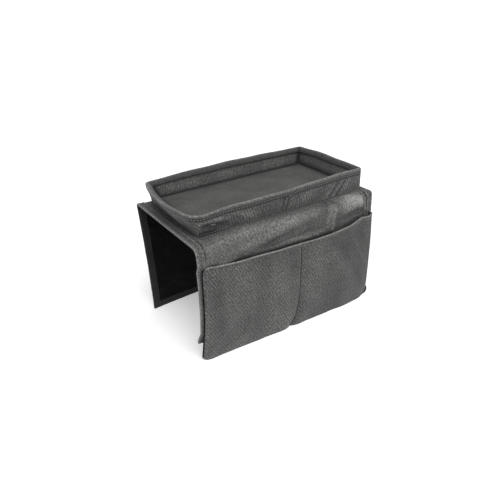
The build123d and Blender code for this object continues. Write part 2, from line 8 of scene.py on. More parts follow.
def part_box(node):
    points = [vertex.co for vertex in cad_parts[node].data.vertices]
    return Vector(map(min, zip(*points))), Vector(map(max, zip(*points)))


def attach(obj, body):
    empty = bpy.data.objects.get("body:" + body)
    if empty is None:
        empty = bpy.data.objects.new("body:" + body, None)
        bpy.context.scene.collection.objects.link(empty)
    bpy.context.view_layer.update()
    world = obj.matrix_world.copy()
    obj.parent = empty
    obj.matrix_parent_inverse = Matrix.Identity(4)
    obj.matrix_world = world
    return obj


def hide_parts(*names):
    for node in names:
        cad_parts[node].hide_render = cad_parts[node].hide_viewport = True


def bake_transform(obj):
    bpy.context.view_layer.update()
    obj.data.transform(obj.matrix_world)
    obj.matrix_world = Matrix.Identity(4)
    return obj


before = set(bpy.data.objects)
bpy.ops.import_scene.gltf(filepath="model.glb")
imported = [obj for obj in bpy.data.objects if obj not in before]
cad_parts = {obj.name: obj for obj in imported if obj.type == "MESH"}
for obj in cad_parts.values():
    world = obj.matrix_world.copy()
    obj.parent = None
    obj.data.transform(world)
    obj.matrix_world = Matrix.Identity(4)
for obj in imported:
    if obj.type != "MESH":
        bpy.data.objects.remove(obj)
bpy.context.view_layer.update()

bl_info = {
    "name": "Sofa Arm Tray",
    "version": (1, 0, 0),
    "blender": (4, 5, 0),
    "location": "3D View > Sidebar > Arm Tray",
    "description": "Builds a cloth saddle for a sofa's arm, with a tray on top and two pockets in front",
    "category": "Add Mesh",
}

# Shaping is worked out in millimetres, and a mesh is written in metres
MM = 0.001
ROOT = "tray_and_saddle_top"
FRONT = "front_flap_with_pockets"
BACK = "back_flap_body"


def node_box(node):
    """A node's lowest and highest corners, in millimetres."""
    low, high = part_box(node)
    return np.array(low) / MM, np.array(high) / MM


SADDLE_HIGH = node_box("saddle_top")[1]
HALF = SADDLE_HIGH[0]
TOP = SADDLE_HIGH[2]
EDGE = SADDLE_HIGH[1]
FRONT_RADIUS = -EDGE - node_box("front_fold")[0][1]
BACK_RADIUS = node_box("back_fold")[1][1] - EDGE
FRONT_DROP = node_box("front_flap")[1][2] - node_box("front_flap")[0][2]
BACK_DROP = node_box("back_flap")[1][2] - node_box("back_flap")[0][2]
GROUND = node_box("back_flap")[0][2]
RIM = node_box("rim_binding")[1][2]
MOUTH = node_box("pocket_front_left")[1][2]
FLOOR = node_box("tray_floor_pad")[1][2]
FACING_DROP = TOP - FRONT_RADIUS - GROUND

# Sizes that the frame doesn't give: flat runs beside the folds, and the facing's height off the flap
FOLD_RUN = 8.0
FACING_RUN = 9.6
FACING_LIFT = 1.2


# Settings that a maker would change
class ArmTrayCloth(bpy.types.PropertyGroup):
    thickness: bpy.props.FloatProperty(
        name="Sheet thickness", description="Thickness of the saddle's coated cloth",
        default=0.0016, min=0.0005, max=0.004, unit="LENGTH")
    bag_thickness: bpy.props.FloatProperty(
        name="Bag thickness", description="Thickness of the facing and the pocket cloth",
        default=0.0012, min=0.0005, max=0.004, unit="LENGTH")
    thread_pitch: bpy.props.FloatProperty(
        name="Thread pitch", description="Distance from one yarn of the weave to the next",
        default=0.00115, min=0.0004, max=0.004, unit="LENGTH")
    colour: bpy.props.FloatVectorProperty(
        name="Cloth colour", description="Yarn colour of the outer cloth",
        default=(0.064, 0.064, 0.0622), size=3, min=0, max=1, subtype="COLOR")
    coating: bpy.props.FloatVectorProperty(
        name="Coating colour", description="Colour of the coated inner face",
        default=(0.0062, 0.0068, 0.0082), size=3, min=0, max=1, subtype="COLOR")
    floor_colour: bpy.props.FloatVectorProperty(
        name="Tray floor colour", description="Colour of the fine cloth on the tray's floor",
        default=(0.052, 0.051, 0.0495), size=3, min=0, max=1, subtype="COLOR")


class ArmTrayHems(bpy.types.PropertyGroup):
    binding_height: bpy.props.FloatProperty(
        name="Binding height", description="Depth of the folded binding round the tray's rim",
        default=0.0085, min=0.004, max=0.016, unit="LENGTH")
    stitch_length: bpy.props.FloatProperty(
        name="Stitch length", description="Length of one stitch",
        default=0.0031, min=0.001, max=0.008, unit="LENGTH")
    stitch_gap: bpy.props.FloatProperty(
        name="Stitch gap", description="Gap between two stitches",
        default=0.0012, min=0.0003, max=0.004, unit="LENGTH")
    thread_radius: bpy.props.FloatProperty(
        name="Thread radius", description="Radius of the sewing thread",
        default=0.00036, min=0.0001, max=0.001, unit="LENGTH")
    thread_colour: bpy.props.FloatVectorProperty(
        name="Thread colour", description="Colour of the sewing thread",
        default=(0.23, 0.23, 0.225), size=3, min=0, max=1, subtype="COLOR")


class ArmTrayFolds(bpy.types.PropertyGroup):
    facing_depth: bpy.props.FloatProperty(
        name="Facing folds", description="Depth of the soft folds in the facing",
        default=0.0024, min=0, max=0.008, unit="LENGTH")
    panel_depth: bpy.props.FloatProperty(
        name="Pocket folds", description="Depth of the wrinkles in the pocket front",
        default=0.0009, min=0, max=0.006, unit="LENGTH")
    seam_depth: bpy.props.FloatProperty(
        name="Divider groove", description="Depth of the groove along the pocket divider's seam",
        default=0.0042, min=0, max=0.01, unit="LENGTH")
    wall_depth: bpy.props.FloatProperty(
        name="Wall folds", description="Depth of the wrinkles in the tray's walls",
        default=0.0011, min=0, max=0.005, unit="LENGTH")


class ArmTrayStage(bpy.types.PropertyGroup):
    floor_colour: bpy.props.FloatVectorProperty(
        name="Floor colour", description="Colour of the studio floor",
        default=(0.9, 0.9, 0.9), size=3, min=0, max=1, subtype="COLOR")
    key_strength: bpy.props.FloatProperty(
        name="Key light", description="Strength of the soft light from above",
        default=2.1, min=0, max=10)
    fill_strength: bpy.props.FloatProperty(
        name="Fill light", description="Strength of the soft light from the front right",
        default=0.45, min=0, max=10)
    world_strength: bpy.props.FloatProperty(
        name="Room light", description="Strength of the even light from all round",
        default=0.34, min=0, max=2)
    floor_glow: bpy.props.FloatProperty(
        name="Floor glow", description="White that the camera alone sees on the floor",
        default=0.35, min=0, max=1)


def settings():
    return bpy.context.scene.arm_tray


class ArmTraySettings(bpy.types.PropertyGroup):
    cloth: bpy.props.PointerProperty(type=ArmTrayCloth)
    hems: bpy.props.PointerProperty(type=ArmTrayHems)
    folds: bpy.props.PointerProperty(type=ArmTrayFolds)
    stage: bpy.props.PointerProperty(type=ArmTrayStage)


# Small shaping tools
WAVES = 9
WAVE_PITCHES = (0.55, 1.7)
WAVE_PEAK = 4.2


def smooth(t):
    t = np.clip(t, 0, 1)
    return t * t * (3 - 2 * t)


def rise(x, start, reach):
    """From 0 at the start to 1 at a reach past it; a negative reach rises towards lower x."""
    return smooth((x - start) / reach)


def hill(x, centre, width):
    return np.exp(-(((x - centre) / width) ** 2))


def arch(t):
    """Nought at both ends and 1 half way."""
    return 4 * t * (1 - t)


def eased(x, places, values):
    """Values given at places along x, with a soft change from one to the next."""
    places, values = np.array(places, float), np.array(values, float)
    i = np.clip(np.searchsorted(places, x, side="right") - 1, 0, len(places) - 2)
    t = smooth((x - places[i]) / (places[i + 1] - places[i]))
    return values[i] + (values[i + 1] - values[i]) * t


def ripple(a, b, size, seed):
    """A soft uneven surface between about -1 and 1, whose bumps are about size apart."""
    rng = np.random.default_rng(seed)
    total = 0
    for _ in range(WAVES):
        turn, pitch, start = rng.uniform(0, math.tau), rng.uniform(*WAVE_PITCHES), rng.uniform(0, math.tau)
        total = total + np.sin(math.tau * pitch / size * (a * math.cos(turn) + b * math.sin(turn)) + start)
    return total / WAVE_PEAK


def ripples(a, b, *waves):
    """Ripples added up: each wave is a height, a size and a seed."""
    return sum(height * ripple(a, b, size, seed) for height, size, seed in waves)


def ridge(a, b, start, end, width, height):
    """A long soft fold from start to end that fades at both ends; a negative height is a valley."""
    start, end = np.array(start, float), np.array(end, float)
    along = end - start
    long = np.linalg.norm(along)
    t = ((a - start[0]) * along[0] + (b - start[1]) * along[1]) / long**2
    off = ((a - start[0]) * along[1] - (b - start[1]) * along[0]) / long
    return height * hill(off, 0, width) * smooth(t * 3 + 0.5) * smooth((1 - t) * 3 + 0.5)


def ridges(a, b, rows):
    """Ridges added up: each row is a start, an end, a width and a height."""
    return sum(ridge(a, b, *row) for row in rows)


# The hanging cloth, in terms of x and the way s down from a line on the saddle's top. Where a pair goes
# into rise(), it is where a change starts and how far on it is full.
LEAN, LEAN_LEFT = 1, 3
BAG_SHARES = (-1, -0.5, 0.05, 0.5, 1)
FACING_SWELLS = (0.3, 0.8, 0.4, 0.9, 0.9)
TIGHTER_RADIUS = 8
TIGHTER_X = (148, 11)
HELD_ABOVE_MOUTH = 14
HELD_OVER = 12
FLAP_BEHIND_BAG = 5.6
FACING_BEHIND_BAG = 4.9


def along_share(x):
    return (x + HALF) / (2 * HALF)


def front_lean(x):
    """How far a front sheet's lower end stands out: more at the left."""
    return LEAN + LEAN_LEFT * (1 - along_share(x))


def front_hang(x, drop):
    """How far the front flap stands out from its fold at a drop below it."""
    belly, belly_left, wave = 1, 3, (0.5, 70, 3)
    curl, curl_x, curl_drop = 11, (-146, -16), (118, 30)
    left = 1 - along_share(x)
    t = drop / FRONT_DROP
    out = front_lean(x) * t + (belly + belly_left * left**2) * arch(t)
    return out - curl * rise(x, *curl_x) * rise(drop, *curl_drop) + ripples(x, drop, wave)


def front_shift(x, drop):
    """How far the front fold stands out before its straight line: more at the left end, less at the right."""
    swell, swell_x, lost_low, low_drop = 12, (-80, -85), 0.75, (60, 75)
    dip, dip_x = 5, (60, 105)
    left = swell * rise(x, *swell_x) * (1 - lost_low * rise(drop, *low_drop))
    return left - dip * rise(x, *dip_x)


def back_hang(x, drop):
    """How far the back flap stands out from its fold; it hangs inwards."""
    lean, lean_left, belly, belly_left = 6, 14, 0.6, 3.4
    waves, from_fold, from_end = ((0.7, 62, 11), (0.35, 26, 12)), (0, 40), (BACK_DROP + 12.5, -50)
    left = 1 - along_share(x)
    t = drop / BACK_DROP
    out = -(lean + lean_left * left**2) * t - (belly + belly_left * left) * arch(t)
    return out + rise(drop, *from_fold) * rise(drop, *from_end) * ripples(x, drop, *waves)


def facing_hang(x, drop):
    """How far the facing stands out from its fold at a drop below it."""
    belly, belly_left, looser, swell, swell_x = 1, 3, 1.18, 1.6, (-172, 60)
    left = 1 - along_share(x)
    t = drop / FACING_DROP
    fold = eased(x / HALF, BAG_SHARES, FACING_SWELLS)
    bow = (belly + belly_left * left**2) * looser + (swell + fold) * rise(x, *swell_x)
    return front_lean(x) * t + bow * arch(t)


def bag_gap(x):
    """How much further the cloth stays behind the pocket's front near its left edge."""
    gap, gap_x = 1.8, (-125, -30)
    return gap * rise(x, *gap_x)


def drape(x, s, side, run, off, hang, behind=None):
    """A point of a sheet that lies flat for run, turns over the fold and hangs: side is -1 in front.

    With behind, the sheet stays that far behind the pocket's front.
    """
    x, s = np.broadcast_arrays(np.asarray(x, float), np.asarray(s, float))
    front = side < 0
    radius = FRONT_RADIUS - TIGHTER_RADIUS * rise(x, *TIGHTER_X) if front else BACK_RADIUS
    flat_end = run + (FRONT_RADIUS - radius if front else 0)
    quarter = radius * math.pi / 2
    shift = front_shift(x, s - flat_end - quarter) * smooth(s / run) if front else 0
    turned = np.clip((s - flat_end) / radius, 0, math.pi / 2)
    drop = np.maximum(s - flat_end - quarter, 0)
    out = np.minimum(s, flat_end) - run + radius * np.sin(turned)
    out = out + np.where(drop > 0, hang(x, drop), 0)
    high = TOP - radius + radius * np.cos(turned) - drop
    if behind is not None:
        held_from = MOUTH + HELD_ABOVE_MOUTH
        room = panel_out(x, np.minimum(high, MOUTH)) - behind - bag_gap(x) - EDGE - shift
        held = out + (np.minimum(out, room) - out) * rise(high, held_from, -HELD_OVER)
        out = np.where(high < held_from, held, out)
    across = side * (EDGE + out + shift + off * np.sin(turned))
    return np.stack([x, across, high + off * np.cos(turned)], -1)


def front_sheet(x, s, off=0.0):
    return drape(x, s, -1, FOLD_RUN, off, front_hang, behind=FLAP_BEHIND_BAG)


def back_sheet(x, s, off=0.0):
    return drape(x, s, 1, FOLD_RUN, off, back_hang)


def top_sheet(x, y, off=0.0):
    return np.stack([x, y, TOP + off + 0 * y], -1)


FRONT_LENGTH = FOLD_RUN + FRONT_RADIUS * math.pi / 2 + FRONT_DROP
BACK_LENGTH = FOLD_RUN + BACK_RADIUS * math.pi / 2 + BACK_DROP
FACING_LENGTH = FACING_RUN + (FRONT_RADIUS + FACING_LIFT) * math.pi / 2 + FACING_DROP

# What the front and the back flap differ in: side, word, sheet, length, fold radius and body
FLAPS = (
    (-1, "front", front_sheet, FRONT_LENGTH, FRONT_RADIUS, FRONT),
    (1, "back", back_sheet, BACK_LENGTH, BACK_RADIUS, BACK),
)

# The facing's edges at its head, at the mouth and at its hidden end
FACING_EDGES = {-1: (-152, -156, -162), 1: (150, 153, 156)}
MOUTH_DROP = 25.6

# Long folds and sharp creases of the facing: each is a start and an end in x and s, a width and a height
FACING_FOLDS = (
    ((-128, 52), (20, 20), 8, 0.9),
    ((-105, 60), (55, 34), 7, -0.75),
)
FACING_CREASES = (
    ((88, 14), (74, 64), 2.8, 1.3),
    ((70, 6), (50, 52), 7, -1.1),
    ((79, 4), (92, 24), 3.4, -1.7),
    ((76, 20), (64, 56), 6, 0.6),
    ((92, 36), (88, 60), 5, -0.7),
    ((110, 10), (144, 30), 9, 1.1),
    ((98, 46), (146, 42), 6, -0.9),
    ((-60, 52), (30, 44), 7, -0.8),
    ((-140, 20), (40, 22), 9, 0.5),
)


def facing_edge(s, side):
    """The x of the facing's left or right edge."""
    drop = np.maximum(s - FACING_RUN - FRONT_RADIUS * math.pi / 2, 0)
    top, mouth, low = FACING_EDGES[side]
    below = (drop - MOUTH_DROP) / (FACING_DROP - MOUTH_DROP)
    return np.where(drop < MOUTH_DROP, top + (mouth - top) * drop / MOUTH_DROP, mouth + (low - mouth) * below)


def facing_folds(x, s):
    """Outward folds of the facing between the tray and the pocket's mouth."""
    depth = settings().folds.facing_depth / MM
    from_head, to_low, stretched, squeezed = (0, 9), (75, -30), 0.45, 1.4
    large, small = (0.45, 40, 21), (0.12, 15, 22)
    fold = ripples(x * stretched, s, large) + ripples(x, s * squeezed, small)
    fold = fold + ridges(x, s, FACING_FOLDS) + ridges(x, s, FACING_CREASES)
    return depth * rise(s, *from_head) * rise(s, *to_low) * fold


def facing_sheet(x, s, off=0.0):
    points = drape(x, s, -1, FACING_RUN, FACING_LIFT + off, facing_hang, behind=FACING_BEHIND_BAG)
    turned = np.clip((s - FACING_RUN) / FRONT_RADIUS, 0, math.pi / 2)
    least_outward, upward = 0.25, 0.8
    fold = facing_folds(x, s)
    points[..., 1] -= fold * np.maximum(np.sin(turned), least_outward)
    points[..., 2] += fold * np.cos(turned) * upward
    return points


# The pocket bag. The mouth sags between its ends and lifts near the right end.
MOUTH_PLACES = (-165, -152, -147, -142, -118, -88, -31, 12, 64, 107, 132, 147, 158, 166)
MOUTH_RISES = (4.7, 6.8, 8.6, 6.6, 4.4, 1.8, -1.4, -2.6, -3.4, -0.2, 6.2, 3.6, 6.6, 7.6)

# The divider's seam is nearly upright, and curls to the left at its foot
SEAM_DEPTHS = (30, 70, 105, 142, 164, 176, 185)
SEAM_PLACES = (9.0, 8.2, 7.2, 5.6, 2.6, -2.4, -7.5)

# How far the pocket's front stands out at its mouth, at its lower edge and half way
MOUTH_OUT = ((-165, -140, -80, 10, 80, 140, 165), (113.5, 112, 111, 110.5, 110.5, 108, 105))
LOW_OUT = ((-165, -149, -108, -64, 5, 88, 128, 163), (101.5, 104.5, 105, 107, 107.5, 109, 107, 102))
BELLY_OUT = (6.8, 4.6, 3.4, 4.4, 3.4)

# Wrinkles of the pocket's front: each is a start and an end in x and z, a width and a height
PANEL_WRINKLES = (
    ((22, -48), (46, -58), 4, 0.9),
    ((18, -66), (34, -74), 3.5, 0.6),
    ((-5, -54), (-30, -80), 7, 0.8),
    ((60, -60), (120, -165), 8, 1.2),
    ((80, -60), (138, -150), 6, -1.1),
    ((108, -55), (150, -125), 5, 0.9),
    ((126, -50), (152, -100), 4, -0.7),
    ((100, -150), (146, -176), 6, 1.2),
    ((-140, -178), (-95, -150), 7, -1.0),
    ((-150, -168), (-118, -128), 6, 0.7),
)

# At the divider's seam: the groove's depth and width, each with what it gains by the foot, and the place and
# width of the swells beside it. Then how the front rolls in at its side edges: side, depth and width.
GROOVE_DEPTH_SHARES = (0.3, 0.8)
GROOVE_WIDTHS = (2.2, 3.5)
SEAM_SWELLS = ((15, 12), (-16, 12))
PANEL_ROLLS = ((-1, 1.6, 4), (1, 2.2, 5))

# The edges of the pocket's front at shares of its depth, and the radii of its lower corners
EDGE_SHARES = (0, 0.1, 0.3, 0.5, 0.75, 1)
EDGE_PLACES = {-1: (-159, -160, -161, -161.5, -162.6, -162.8), 1: (158.5, 158.3, 157.8, 158, 158.5, 159.5)}
LOW_RADII = {-1: 3.0, 1: 13.0}
MOUTH_CORNER, MOUTH_CORNER_BELOW, MOUTH_CORNER_TALL = 8, 9, 12


def mouth_height(x):
    return MOUTH + np.interp(x, MOUTH_PLACES, MOUTH_RISES)


def divider_x(z):
    return np.interp(-z, SEAM_DEPTHS, SEAM_PLACES)


def bag_share(z):
    """The share of the bag's depth at z, from the mouth down."""
    return (MOUTH - z) / (MOUTH - GROUND)


def facing_out(x, z):
    """How far in front of the saddle's middle the facing hangs."""
    drop = np.clip(TOP - FRONT_RADIUS - z, 0, None)
    return EDGE + FRONT_RADIUS + FACING_LIFT + facing_hang(x, drop) + front_shift(x, drop)


def panel_out(x, z):
    """How far in front of the saddle's middle the pocket's front stands."""
    mouth, low = eased(x, *MOUTH_OUT), eased(x, *LOW_OUT)
    t = bag_share(z)
    return mouth + (low - mouth) * t + eased(x / HALF, BAG_SHARES, BELLY_OUT) * arch(t)


def at_foot(pair, down):
    """The pair's first number at the bag's mouth, with the second added by its foot."""
    return pair[0] + pair[1] * down**4


def panel_folds(x, z):
    """Outward wrinkles of the pocket's front, and the groove along the divider's seam."""
    folds = settings().folds
    large, small, stretched = (0.9, 95, 31), (0.3, 34, 32), 0.6
    t = bag_share(z)
    off = x - divider_x(z)
    wrinkles = ripples(x, z, large) + ripples(x, z * stretched, small) + ridges(x, z, PANEL_WRINKLES)
    groove = folds.seam_depth / MM * at_foot(GROOVE_DEPTH_SHARES, t)
    pull = -groove * np.exp(-np.abs(off) / at_foot(GROOVE_WIDTHS, t))
    swell = t**2 * sum(hill(off, *row) for row in SEAM_SWELLS)
    rolled = 0
    for side, depth, width in PANEL_ROLLS:
        rolled = rolled - depth * rise(side * (panel_edge(z, side) - x), width, -width) ** 2
    return folds.panel_depth / MM * wrinkles + pull + swell + rolled


def panel_sheet(x, z, off=0.0):
    x, z = np.broadcast_arrays(np.asarray(x, float), np.asarray(z, float))
    return np.stack([x, -(panel_out(x, z) + panel_folds(x, z) + off), z], -1)


def panel_edge(z, side):
    """The x of the panel's left or right edge, with rounded corners."""
    edge = np.interp(bag_share(z), EDGE_SHARES, EDGE_PLACES[side])
    radius = LOW_RADII[side]
    into = np.clip((GROUND + radius - z) / radius, 0, 1)
    inward = radius * (1 - np.sqrt(1 - into**2))
    if side < 0:
        top = np.clip((z - (MOUTH - MOUTH_CORNER_BELOW)) / MOUTH_CORNER_TALL, 0, 1)
        inward = inward + MOUTH_CORNER * (1 - np.sqrt(np.clip(1 - top**2, 0, 1)))
    return edge - side * inward


# The tray's walls, drawn between an outline on the saddle and an outline at the rim
SIDE_STEPS = 104
CORNER_STEPS = 16
WALL_STEPS = SIDE_STEPS + CORNER_STEPS
TRAY_MIDDLE = np.array((3.5, 3.5))
BASE_CORNERS = ((-147, 78.5), (-148, -81), (151, -80), (150, 78.5))
BASE_BOWS = (0.4, 0.4, 0.4, 0.4)
BASE_RADII = (6, 2.6, 6, 6)
RIM_CORNERS = ((-155, 79.5), (-166, -90.5), (155, -76.5), (151, 79.5))
RIM_BOWS = (11, 3, 0.6, 2)
RIM_RADII = (9, 26, 6, 5)
RIM_DIPS = (3.4, 2.2, 0.6, 1.8)
RIM_DIP_WIDTH = 34
RIM_DROP = 0.9
WALLS = ("left", "front", "right", "back")
WALL_HEIGHT = 38
WALL_CLOTH_HEIGHT = 0.0385

# Folds of the front wall, in the way along it and the height: at its left end, then three slanting creases
FRONT_WALL_FOLDS = (
    ((7, 26), (40, 22), 3.6, 3.2),
    ((12, 17), (52, 10), 4.2, -3.0),
    ((2, 2), (3.5, 30), 2.4, 2.4),
    ((56, 26), (92, 12), 4, 1.8),
)
FRONT_WALL_CREASES = ((231, 1.3), (246, 1.3), (263, 0.6))
CREASE_SLANT, CREASE_LOW, CREASE_HIGH = 17, 1, 25

# A crease's ridge and the valley beside it: the way on, the width and the share of the crease's size
CREASE_PARTS_SHARES = ((0, 2.8, 1), (6, 3.0, -1.3))
WALL_SEED = 40

# The rows of a wall's skin as shares of its height, and how its folds fade out at its ends and below the rim
WALL_ROW_SHARES = np.concatenate([np.linspace(0, 0.66, 16)[:-1], np.linspace(0.66, 0.985, 15)])
WALL_FOLDS_IN = 7
WALL_FOLDS_TO_SHARES = (0.93, -0.15)

# The front wall's seam: its way along, then the groove's and the swell's way on, width and height
FRONT_SEAM_WAY = 147
FRONT_SEAM_PARTS = ((0, 2.2, -1.6), (5, 3, 0.8))
RIM_WAVES = ((0.55, 5, 0.6), (0.35, 13, 2.0))


def outline(corners, bows, radii, inset, least):
    """Points round an outline of four bowed sides with rounded corners, from the middle of the first."""
    moved = [np.array([place - inset * math.copysign(1, place) for place in corner]) for corner in corners]
    arcs = []
    for i in range(4):
        to_before, to_after = moved[i - 1] - moved[i], moved[(i + 1) % 4] - moved[i]
        to_before, to_after = to_before / np.linalg.norm(to_before), to_after / np.linalg.norm(to_after)
        half = math.acos(float(to_before @ to_after)) / 2
        radius = max(radii[i] - inset, least)
        middle = to_before + to_after
        centre = moved[i] + middle / np.linalg.norm(middle) * radius / math.sin(half)
        first = moved[i] + to_before * radius / math.tan(half) - centre
        turns = np.linspace(0, math.pi - 2 * half, CORNER_STEPS + 1)
        arcs.append(np.array([centre + (first[0] * math.cos(t) - first[1] * math.sin(t),
                                        first[0] * math.sin(t) + first[1] * math.cos(t)) for t in turns]))
    points = []
    for i in range(4):
        start, end = arcs[i][-1], arcs[(i + 1) % 4][0]
        way = end - start
        outward = np.array((way[1], -way[0])) / np.linalg.norm(way)
        points.extend(arcs[i])
        for t in np.linspace(0, 1, SIDE_STEPS + 1)[1:-1]:
            points.append(start + way * t + outward * bows[i] * arch(t))
    return np.roll(np.array(points), -(CORNER_STEPS // 2), axis=0)


def tray_ring(inset_base, inset_rim, w, out=0.0, lift=0.0, least=2.0):
    """The closed ring of points at share w of the wall's height; out moves it outward."""
    base = outline(BASE_CORNERS, BASE_BOWS, BASE_RADII, inset_base, least)
    rim = outline(RIM_CORNERS, RIM_BOWS, RIM_RADII, inset_rim, least)
    flat = base + (rim - base) * w
    along = np.roll(flat, -1, axis=0) - np.roll(flat, 1, axis=0)
    outward = np.stack([along[:, 1], -along[:, 0]], -1) / np.linalg.norm(along, axis=1)[:, None]
    flat = flat + outward * np.reshape(out, (-1, 1)) + TRAY_MIDDLE
    high = np.broadcast_to(TOP + (RIM - TOP) * w + lift, (len(flat),))
    return np.column_stack([flat, high])


def waved_ring(inset_base, inset_rim, w, out=0.0, least=2.0):
    """A ring that follows the rim's rise and fall, more the higher it is."""
    return tray_ring(inset_base, inset_rim, w, out=out, lift=rim_wave() * w**2, least=least)


def ring_lengths():
    """The way round the tray's middle height at each ring point, and once more for closing it."""
    ring = tray_ring(0, 0, 0.5)[:, :2]
    steps = np.linalg.norm(np.roll(ring, -1, axis=0) - ring, axis=1)
    return np.concatenate([[0], np.cumsum(steps)])


def rim_wave():
    """The rim's small rise and fall round the tray: each wave is a height, a number and a start."""
    way, full = ring_lengths()[:-1], ring_lengths()[-1]
    wave = 0
    for height, waves, start in RIM_WAVES:
        wave = wave + height * np.sin(way / full * math.tau * waves + start)
    for corner, dip in enumerate(RIM_DIPS):
        off = np.abs(way - way[corner * WALL_STEPS])
        wave = wave - dip * hill(np.minimum(off, full - off), 0, RIM_DIP_WIDTH)
    return wave - RIM_DROP


def wall_part(index):
    """Which ring points belong to a wall, and the way along it in millimetres."""
    take = (np.arange(WALL_STEPS + 1) + index * WALL_STEPS) % (4 * WALL_STEPS)
    return take, ring_lengths()[index * WALL_STEPS:(index + 1) * WALL_STEPS + 1]


def wall_folds(wall, way, w):
    """Outward wrinkles of one wall: way is how far along it, in millimetres."""
    depth = settings().folds.wall_depth / MM
    seed = WALL_SEED + WALLS.index(wall)
    high = w * WALL_HEIGHT
    fold = ripples(way, high, (0.6, 60, seed), (0.2, 17, seed + 10))
    if wall == "front":
        fold = fold + ridges(way, high, FRONT_WALL_FOLDS)
        for start, size in FRONT_WALL_CREASES:
            for on, width, share in CREASE_PARTS_SHARES:
                low = (start + on, CREASE_LOW)
                top = (start + on + CREASE_SLANT, CREASE_HIGH)
                fold = fold + ridge(way, high, low, top, width, share * size)
        for on, width, height in FRONT_SEAM_PARTS:
            fold = fold + height * hill(way, FRONT_SEAM_WAY + on, width)
    flat_end, fullness = 0.02, 0.6
    return depth * fold * np.sin(math.pi * np.clip(w, flat_end, 1 - flat_end)) ** fullness


# Mesh building
def paired(a, b):
    """A cloth map from the numbers along and across."""
    return np.stack(np.broadcast_arrays(a, b), -1)


def section_way(section):
    """The way along a section at each of its points."""
    steps = np.diff(np.array(section), axis=0)
    return np.concatenate([[0], np.cumsum(np.hypot(steps[:, 0], steps[:, 1]))])


def new_piece(name, points, faces, flat=None, smooth_angle=45.0, shade=None):
    """A mesh object from points in millimetres, with a cloth map in metres and a painted shade for each
    point, which also carries painted highlights.
    """
    mesh = bpy.data.meshes.new(name)
    corners = np.asarray(points, float).reshape(-1, 3) * MM
    mesh.from_pydata([tuple(p) for p in corners], [], [tuple(int(i) for i in f) for f in faces])
    if flat is not None:
        flat = np.asarray(flat, float).reshape(-1, 2) * MM
        layer = mesh.uv_layers.new(name="cloth")
        loops = np.zeros(len(mesh.loops), dtype=np.int32)
        mesh.loops.foreach_get("vertex_index", loops)
        layer.data.foreach_set("uv", flat[loops].astype(np.float32).ravel())
    mark = mesh.attributes.new("shade", "FLOAT", "POINT")
    shades = np.ones(len(mesh.vertices)) if shade is None else np.asarray(shade, float).ravel()
    mark.data.foreach_set("value", shades.astype(np.float32))
    mesh.validate()
    piece = bpy.data.objects.new(name, mesh)
    bpy.context.collection.objects.link(piece)
    select_only(piece)
    bpy.ops.object.shade_smooth_by_angle(angle=math.radians(smooth_angle))
    return piece


def select_only(piece):
    bpy.ops.object.select_all(action="DESELECT")
    piece.select_set(True)
    bpy.context.view_layer.objects.active = piece


def apply_all(piece):
    select_only(piece)
    for modifier in list(piece.modifiers):
        bpy.ops.object.modifier_apply(modifier=modifier.name)


def grid_faces(rows, cols, flip=False, closed=False):
    index = np.arange(rows * cols).reshape(rows, cols)
    right = np.roll(index, -1, axis=1) if closed else index[:, 1:]
    left = index if closed else index[:, :-1]
    quads = np.stack([left[:-1], right[:-1], right[1:], left[1:]], -1).reshape(-1, 4)
    return quads[:, ::-1] if flip else quads


def cloth_piece(name, grid, flat, flip, thickness, finishes, smooth_angle=45.0, shade=None):
    """A sheet of cloth: its outer face is the grid, and its thickness lies behind it."""
    rows, cols = grid.shape[:2]
    piece = new_piece(name, grid, grid_faces(rows, cols, flip), flat, smooth_angle, shade)
    for finish in finishes:
        piece.data.materials.append(bpy.data.materials[finish])
    solid = piece.modifiers.new("cloth thickness", "SOLIDIFY")
    solid.thickness = thickness * MM
    solid.offset = -1
    solid.material_offset = len(finishes) - 1
    solid.material_offset_rim = 0
    apply_all(piece)
    select_only(piece)
    bpy.ops.object.shade_smooth_by_angle(angle=math.radians(smooth_angle))
    return piece


def loop_piece(name, grid, flat, finish, flip=False, capped=True, smooth_angle=50.0, inside=None, shade=None):
    """A closed section, one row of the grid each, carried along a way and closed at its ends.

    The columns from the number inside on take the coated hem's finish.
    """
    rows, cols = grid.shape[:2]
    faces = [tuple(f) for f in grid_faces(rows, cols, flip, closed=True)]
    if capped:
        first, last = list(range(cols)), list(range((rows - 1) * cols, rows * cols))
        faces.append(tuple(first if flip else first[::-1]))
        faces.append(tuple(last[::-1] if flip else last))
    piece = new_piece(name, grid, faces, flat, smooth_angle, shade)
    piece.data.materials.append(bpy.data.materials[finish])
    if inside is not None:
        piece.data.materials.append(bpy.data.materials["coated hem"])
        for face in piece.data.polygons[:(rows - 1) * cols]:
            face.material_index = int(face.index % cols >= inside)
    return piece


def joined(name, pieces):
    """Several meshes made one object."""
    bpy.ops.object.select_all(action="DESELECT")
    for piece in pieces:
        piece.select_set(True)
    bpy.context.view_layer.objects.active = pieces[0]
    bpy.ops.object.join()
    made = bpy.context.view_layer.objects.active
    made.name = name
    made.data.name = name
    return made


def bend(piece, side):
    """Bakes a piece's placing into its mesh; the side, -1 for the front fold or 1 for the back, changes
    nothing.
    """
    radius, body = (FRONT_RADIUS, FRONT) if side < 0 else (BACK_RADIUS, BACK)
    start = (0, side * EDGE * MM, TOP * MM)
    end = (0, side * (EDGE + radius) * MM, (TOP - radius) * MM)
    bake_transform(piece)


